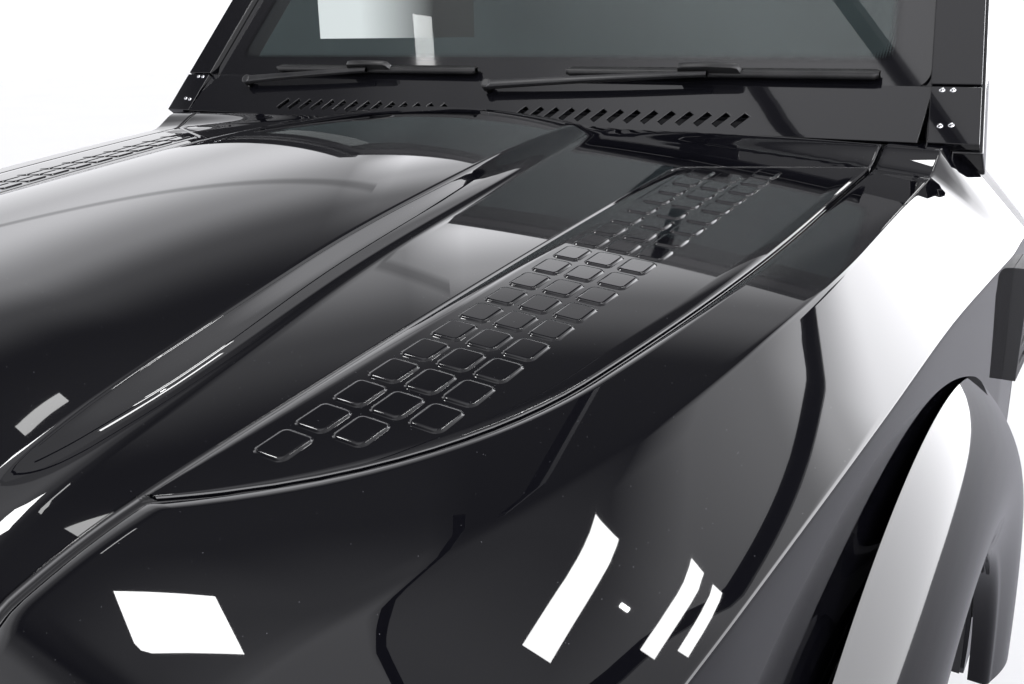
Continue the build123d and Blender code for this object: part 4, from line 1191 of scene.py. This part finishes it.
@dataclass(frozen=True)
class Wiper:
    """One wiper: spindle cap, tapered arm, hook and blade, built along the glass."""

    side: Side
    body: Body
    pivot: float
    middle: float
    half: float
    # Corners across the blade and over the glass: the rubber lip, and the carrier with its spoiler
    lip: Stops = (
        (-2.4, 5.6), (-0.9, 3.5), (-0.5, -2.4), (0.5, -2.4), (0.9, 3.5), (2.4, 5.6),
    )
    spoiler: Stops = (
        (4.0, 9.0), (0.6, 12.6), (-1.2, 13.4), (-3.0, 13.2), (-8.6, 9.6),
        (-9.8, 6.6), (-9.2, 5.6), (9.2, 5.6), (9.8, 6.4),
    )
    pivot_v: float = 42.0
    hook_v: float = 71.0
    blade_v: float = 82.0
    cap_radius: float = 10.8
    cap_top: float = 25.8
    cap_round: float = 4.0

    @staticmethod
    def sweep(desk: MeshDesk, stations: Sequence[Point], rings: Sequence[np.ndarray]) -> None:
        """Joins rings that stand across a straight run in the glass plane, and closes both ends.

        Args:
            desk: Where the faces go.
            stations: Places (u, v, n) of the rings' middles.
            rings: One ring for each station.
        """
        run = np.array(stations[-1][:2]) - np.array(stations[0][:2])
        run /= np.linalg.norm(run)
        lines = []
        for (u, v, n), ring in zip(stations, rings):
            lines.append([Screen.at(u - run[1] * a, v + run[0] * a, n + b) for a, b in ring])
        points = np.array(lines)
        desk.grid(points, around=True, flip=True)
        ahead = Screen.way(run[0], run[1], 0.0)
        desk.fan(points[0], -ahead)
        desk.fan(points[-1][::-1], ahead)

    def arm(self) -> MeshDesk:
        """Spindle with its cap, and the arm."""
        desk = MeshDesk()
        rise = self.cap_round
        radius, top = self.cap_radius - rise, self.cap_top - rise
        profile = [(7.0, -5.9), (7.0, 11.0), (self.cap_radius, 11.2), (self.cap_radius, top)]
        bend = np.linspace(0.0, math.pi / 2, 7)
        profile += [(radius + rise * math.cos(a), top + rise * math.sin(a)) for a in bend]
        lines = [Screen.circle((self.pivot, self.pivot_v), r, n, 32) for r, n in profile]
        desk.grid(np.array(lines), around=True)
        desk.fan(np.array(lines[-1]), Screen.way(0.0, 0.0, 1.0))
        stations = []
        rings = []
        for share in np.linspace(0.0, 1.0, 24):
            u = self.pivot + (self.middle - self.pivot) * share
            v = self.pivot_v + (self.hook_v - self.pivot_v) * share
            stations.append((u, v, 18.4 + 1.6 * math.sin(math.pi * share)))
            rings.append(rounded_ring(19.0 - 10.0 * share**0.6, 11.0 - 3.0 * share, 3.0 - share))
        self.sweep(desk, stations, rings)
        return desk

    def blade(self) -> MeshDesk:
        """Rubber lip, carrier with its spoiler, end caps and the connector."""
        desk = MeshDesk()
        tips = np.array([0.975, 0.992, 1.0])
        places = np.concatenate((-tips[::-1], np.linspace(-0.95, 0.95, 30), tips)) * self.half
        for ring, end in ((np.array(self.lip), 0.98), (np.array(self.spoiler), 0.72)):
            rings = [ring * (1.0 if abs(u) < 0.98 * self.half else end, 1.0) for u in places]
            self.sweep(desk, [(self.middle + u, self.blade_v, 0.0) for u in places], rings)
        connector = [(-56, 9.0), (-52, 16.0), (-44, 17.0), (0, 18.0), (44, 17.0), (52, 16.0), (56, 9.0)]
        rings = [rounded_ring(11.0, 2 * (n - 6.0), 2.0) + (0.0, n) for _, n in connector]
        self.sweep(desk, [(self.middle + u, self.blade_v, 0.0) for u, _ in connector], rings)
        return desk

    def build(self, shop: Workshop) -> None:
        """Makes the arm and the blade."""
        word = self.side.word
        shop.seat(self.arm().piece(f"arm_{word}"), Slot.STEEL, self.body, f"wiper_arm_{word}")
        shop.seat(self.blade().piece(f"blade_{word}"), Slot.WIPER_RUBBER, self.body, f"wiper_blade_{word}")


@dataclass(frozen=True)
class Fasteners:
    """Small domed screws on the pillar trims."""

    spots: tuple[tuple[float, float], ...]
    face_n: float = 10.0
    radius: float = 4.5
    height: float = 1.8

    def build(self, shop: Workshop) -> None:
        """Makes the screws of both sides as one piece."""
        bend = np.linspace(0.0, 0.92 * math.pi / 2, 5)
        up = Screen.way(0.0, 0.0, 1.0)
        desk = MeshDesk()
        for spot in self.spots:
            lines = []
            for angle in bend:
                r, n = self.radius * math.cos(angle), self.face_n + self.height * math.sin(angle)
                lines.append(Screen.circle(spot, r, n, 16))
            desk.grid(np.array(lines), around=True)
            desk.fan(np.array(lines[-1]), up)
        both = desk.mirrored()
        both.merge(desk)
        shop.seat(both.piece("pillar_screws"), Slot.ROD_CHROME, Body.SHELL)


# Stage


@dataclass(frozen=True)
class Camera:
    """The photograph's camera: where it stands and how it points."""

    place: tuple[float, float, float] = (1085.0, -1684.0, 558.0)
    yaw: float = 33.1
    pitch: float = 17.9
    roll: float = 1.16
    lens: float = 35.0
    sensor: float = 36.0

    def build(self) -> None:
        """Makes the camera and gives it to the scene."""
        yaw, pitch, roll = (math.radians(a) for a in (self.yaw, self.pitch, self.roll))
        ahead = Vector((-math.sin(yaw) * math.cos(pitch), math.cos(yaw) * math.cos(pitch), -math.sin(pitch)))
        level = Vector((math.cos(yaw), math.sin(yaw), 0.0))
        down = ahead.cross(level)
        right = level * math.cos(roll) + down * math.sin(roll)
        up = level * math.sin(roll) - down * math.cos(roll)
        data = bpy.data.cameras.new("photo_camera")
        data.lens = self.lens
        data.sensor_width = self.sensor
        data.clip_start = 0.02
        camera = placed("photo_camera", data)
        turned = Matrix((right, up, -ahead)).transposed().to_4x4()
        camera.matrix_world = Matrix.Translation(Vector(self.place) * MM) @ turned
        bpy.context.scene.camera = camera


@dataclass(frozen=True)
class Lamp:
    """A flat lamp that faces down, turned about its middle and tilted."""

    name: str
    place: tuple[float, float, float]
    size: tuple[float, float]
    watts: float
    turn: float = 0.0
    tilt: float = 0.0
    seen: bool = True

    def build(self) -> None:
        """Makes the lamp."""
        data = bpy.data.lights.new(self.name, "AREA")
        data.shape = "RECTANGLE"
        data.size, data.size_y = self.size
        data.energy = self.watts
        lamp = placed(self.name, data)
        turn = Matrix.Rotation(math.radians(self.turn), 4, "Z")
        tilt = Matrix.Rotation(math.radians(self.tilt), 4, "X")
        lamp.matrix_world = Matrix.Translation(Vector(self.place)) @ turn @ tilt
        lamp.visible_glossy = self.seen


def matt(name: str, rough: float, scale: float, *colours: Colour) -> bpy.types.Material:
    """A matt material with clouds between two colours.

    Args:
        name: The material's name.
        rough: Its roughness.
        scale: Number of clouds for each metre.
        colours: The darker and the paler colour.

    Returns:
        The material.
    """
    made, desk = NodeDesk.material(name)
    shader = desk.add("BsdfPrincipled", {"Roughness": rough})
    clouds = desk.noise(desk.place(), scale, 3.0)
    desk.join(desk.blend(clouds, *colours), shader.inputs["Base Color"])
    desk.show(shader.outputs["BSDF"])
    return made


@dataclass(frozen=True)
class Beam:
    """A dark roof beam between two places in plan, for the paint to reflect."""

    name: str
    start: tuple[float, float]
    end: tuple[float, float]
    wide: float
    level: float = 2.5
    deep: float = 0.06

    def build(self, paint: bpy.types.Material) -> None:
        """Makes the beam."""
        a, b = Vector(self.start), Vector(self.end)
        off = (b - a).orthogonal().normalized() * (self.wide / 2)
        plan = (a + off, a - off, b - off, b + off)
        points = [(p.x, p.y, self.level + z) for z in (0.0, self.deep) for p in plan]
        sides = [(i, (i + 1) % 4, (i + 1) % 4 + 4, i + 4) for i in range(4)]
        mesh = bpy.data.meshes.new(self.name)
        mesh.from_pydata(points, [], [(3, 2, 1, 0), (4, 5, 6, 7), *sides])
        mesh.materials.append(paint)
        placed(self.name, mesh)


@dataclass(frozen=True)
class CabinShade:
    """Painted shade of the cabin: a dark sheet behind the windscreen with an opening for one bright side
    window, seen only through the glass.
    """

    place_y: float = 1.2
    across: tuple[float, float, float, float] = (-2.4, -1.62, -0.92, 1.3)
    heights: tuple[float, float, float, float] = (-0.3, 0.505, 0.72, 1.5)

    def build(self) -> None:
        """Makes the shade as a wall with an opening."""
        points = [(x, self.place_y, z) for z in self.heights for x in self.across]
        first = [i + 4 * j for j in range(3) for i in range(3) if (i, j) != (1, 1)]
        cells = [(k, k + 1, k + 5, k + 4) for k in first]
        mesh = bpy.data.meshes.new("cabin_shade")
        mesh.from_pydata(points, [], cells)
        # Its dark teal colours are painted shade: the cabin's inside as seen through the glass.
        mesh.materials.append(matt("cabin_cloth", 0.8, 2.5, (0.012, 0.018, 0.020), (0.045, 0.062, 0.066)))
        shade = placed("cabin_shade", mesh)
        shade.visible_camera = shade.visible_diffuse = shade.visible_glossy = shade.visible_shadow = False


@dataclass(frozen=True)
class Studio:
    """A bright hall: pale floor, white walls, a dark ceiling with beams, and long windows overhead."""

    window_z: float = 2.4
    window_watts: float = 62.0
    floor_z: float = -950.0
    floor_size: float = 60.0
    fill: float = 1.1
    backdrop: float = 1.2
    tint: Colour = (0.97, 0.97, 1.0)
    peak: float = 8.0
    # Light from a direction by the sine of its height, in this order: beyond the far wing, behind the
    # screen and beyond the near wing
    far: Stops = (
        (0.0, 1.0), (0.2, 1.0), (0.34, 1.5), (0.47, 0.9), (0.55, 0.3),
        (0.62, 0.06), (0.72, 0.12), (0.8, 0.4), (0.93, 1.1),
    )
    screen: Stops = (
        (0.0, 0.04), (0.40, 0.04), (0.44, 2.6), (0.49, 1.5), (0.54, 0.6),
        (0.6, 0.08), (0.74, 0.08), (0.84, 0.3), (0.95, 0.6),
    )
    near: Stops = ((0.0, 5.0), (0.5, 6.0), (0.58, 3.0), (0.66, 1.4), (0.8, 1.1), (0.9, 0.8))
    # Azimuths in degrees from straight ahead where one kind of wall turns into the next
    corners: tuple[tuple[float, float], ...] = ((-41.0, -37.0), (-8.0, -1.0))
    # A cable along the far wall, from one azimuth and height to another
    cable: tuple[tuple[float, float], tuple[float, float]] = ((-64.0, 0.27), (-38.0, 0.51))
    cable_width: float = 0.012
    beams: tuple[Beam, ...] = (
        Beam("beam_far", (-0.60, 0.49), (0.86, -1.47), 0.05),
        Beam("beam_near", (1.43, 2.95), (0.72, -0.80), 0.05),
        Beam("beam_short", (-0.38, 0.54), (-0.62, 1.73), 0.045),
    )

    def build(self) -> None:
        """Makes the surroundings."""
        bpy.context.scene.view_settings.view_transform = "Standard"
        self.world()
        self.floor()
        for lamp in self.lamps():
            lamp.build()
        paint = matt("beam_paint", 0.6, 3.0, (0.01, 0.01, 0.012), (0.02, 0.02, 0.024))
        for beam in self.beams:
            beam.build(paint)
        CabinShade().build()

    def lamps(self) -> tuple[Lamp, ...]:
        """Long windows in the ceiling, and a strip light."""
        level = self.window_z

        def window(name: str, x: float, y: float, wide: float, long: float, turn: float) -> Lamp:
            """A window as bright as the others for its size."""
            return Lamp(name, (x, y, level), (wide, long), self.window_watts * wide * long, turn)

        return (
            window("window_far", -1.01, -1.02, 0.41, 0.48, -46.0),
            window("window_middle", 0.61, 0.06, 0.095, 0.71, 4.5),
            window("window_near", 0.89, 0.30, 0.05, 0.68, 1.0),
            window("window_edge", 0.972, 0.34, 0.036, 0.58, 1.5),
            Lamp("strip", (-1.72, -0.58, level), (0.10, 0.36), 0.5, -8.0),
            Lamp("spot_near", (0.761, 0.08, level), (0.03, 0.03), 0.25),
            Lamp("front", (0.4, -4.5, 2.6), (2.0, 0.8), 60.0, tilt=-58.0, seen=False),
        )

    def world(self) -> None:
        """Surroundings as reflections and glass show them, white to the eye and even to matt surfaces."""
        world = bpy.data.worlds.new("studio")
        desk = NodeDesk(world, "OutputWorld")
        x, y, z = desk.split(desk.add("TexCoord").outputs["Generated"])
        azimuth = desk.math("MULTIPLY", desk.math("ARCTAN2", x, y), math.degrees(1.0))
        height = desk.math("MAXIMUM", z, 0.0)
        light = self.wall(desk, height, self.far)
        for wall, (start, end) in zip((self.screen, self.near), self.corners):
            share = desk.spread(azimuth, (start, end), 0.0, 1.0)
            change = desk.math("SUBTRACT", self.wall(desk, height, wall), light)
            light = desk.math("ADD", light, desk.math("MULTIPLY", share, change))
        light = desk.math("MULTIPLY", light, self.cable_shade(desk, azimuth, height))
        seen = desk.add("LightPath").outputs["Is Camera Ray"]
        plain = desk.math("MAXIMUM", desk.math("MULTIPLY", seen, self.backdrop), self.fill)
        change = desk.math("MULTIPLY", desk.beyond_eye(), desk.math("SUBTRACT", light, plain))
        level = desk.math("ADD", plain, change)
        background = desk.add("Background", {"Color": (*self.tint, 1.0)})
        desk.join(level, background.inputs["Strength"])
        desk.show(background.outputs[0])
        bpy.context.scene.world = world

    def wall(self, desk: NodeDesk, height: Socket, stops: Stops) -> Socket:
        """Light of one wall and the ceiling over it."""
        curve = desk.curve(height, [(place, level / self.peak) for place, level in stops])
        return desk.math("MULTIPLY", curve, self.peak)

    def cable_shade(self, desk: NodeDesk, azimuth: Socket, height: Socket) -> Socket:
        """Share of light left beside the cable."""
        (a0, h0), (a1, h1) = self.cable
        slope = (h1 - h0) / (a1 - a0)
        line = desk.math("ADD", desk.math("MULTIPLY", azimuth, slope), h0 - slope * a0)
        off = desk.math("ABSOLUTE", desk.math("SUBTRACT", height, line))
        shade = desk.spread(off, (0.3 * self.cable_width, self.cable_width), 0.62, 1.0)
        beyond = desk.math("GREATER_THAN", azimuth, a1)
        return desk.math("MAXIMUM", shade, beyond)

    def floor(self) -> None:
        """Pale floor at the road under the wheels; reflections and glass show a darker copy, painted shade.
        """
        mesh = bpy.data.meshes.new("floor")
        half = self.floor_size / 2
        z = self.floor_z * MM
        corners = [(-half, -half, z), (half, -half, z), (half, half, z), (-half, half, z)]
        mesh.from_pydata(corners, [], [(0, 1, 2, 3)])
        paint, desk = NodeDesk.material("floor_paint")
        pale, reflected_shade = (desk.add("BsdfPrincipled", {"Roughness": 0.7}) for _ in range(2))
        cloud = desk.noise(desk.place(), 0.7, 4.0)
        desk.join(desk.blend(cloud, (0.90, 0.90, 0.91), (0.94, 0.94, 0.95)), pale.inputs["Base Color"])
        # Painted shade: the darker copy is the floor as reflections and glass show it, not its own colour.
        desk.join(desk.blend(cloud, (0.20, 0.20, 0.22), (0.26, 0.26, 0.28)), reflected_shade.inputs["Base Color"])
        desk.mix(desk.beyond_eye(), pale, reflected_shade)
        mesh.materials.append(paint)
        placed("floor", mesh)


# The whole section


SOFTENINGS = (
    Softening("windscreen_frame", 3.0),
    Softening("pillar_trim", 1.2, paired=True),
    Softening("scuttle_panel", 0.8),
    Softening("side_vent", 0.7, paired=True),
    Softening("hinge_base", 0.6, paired=True),
    Softening("hinge_arm", 0.8, paired=True),
    Softening("bumper", 3.0, 3),
    Softening("front_panel", 2.0, 3),
    Softening("grille", 0.8),
    Softening("slam_panel", 2.0),
    Softening("bonnet_latch", 0.8),
    Softening("bonnet_striker", 0.5),
    Softening("front_frame", 3.0, 3),
    Softening("skid_plate", 1.2),
    Softening("bulkhead", 1.5),
)
WIPERS = (
    Wiper(Side.LEFT, Body.WIPER_LEFT, 0.0, 430.0, 275.0),
    Wiper(Side.RIGHT, Body.WIPER_RIGHT, -640.0, -310.0, 265.0),
)
SCREWS = Fasteners(((800.0, 53.6), (815.0, 53.9), (809.0, -7.5), (824.0, -5.5)))


def main() -> None:
    """Builds the stage and every piece in order, and logs the pieces that each assembly seats, with their
    bodies.
    """
    logging.basicConfig(level=logging.INFO, format="%(message)s")
    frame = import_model()
    Camera().build()
    Studio().build()
    shop = Workshop(Finishes(), frame)
    for assembly in (Bodywork(Upper()), Flare(), *WIPERS, SCREWS, *SOFTENINGS):
        done = len(shop.seated)
        assembly.build(shop)
        for piece, body in shop.seated[done:]:
            LOG.info("%s: %s on %s", type(assembly).__name__, piece, body)


if __name__ == "__main__":
    main()
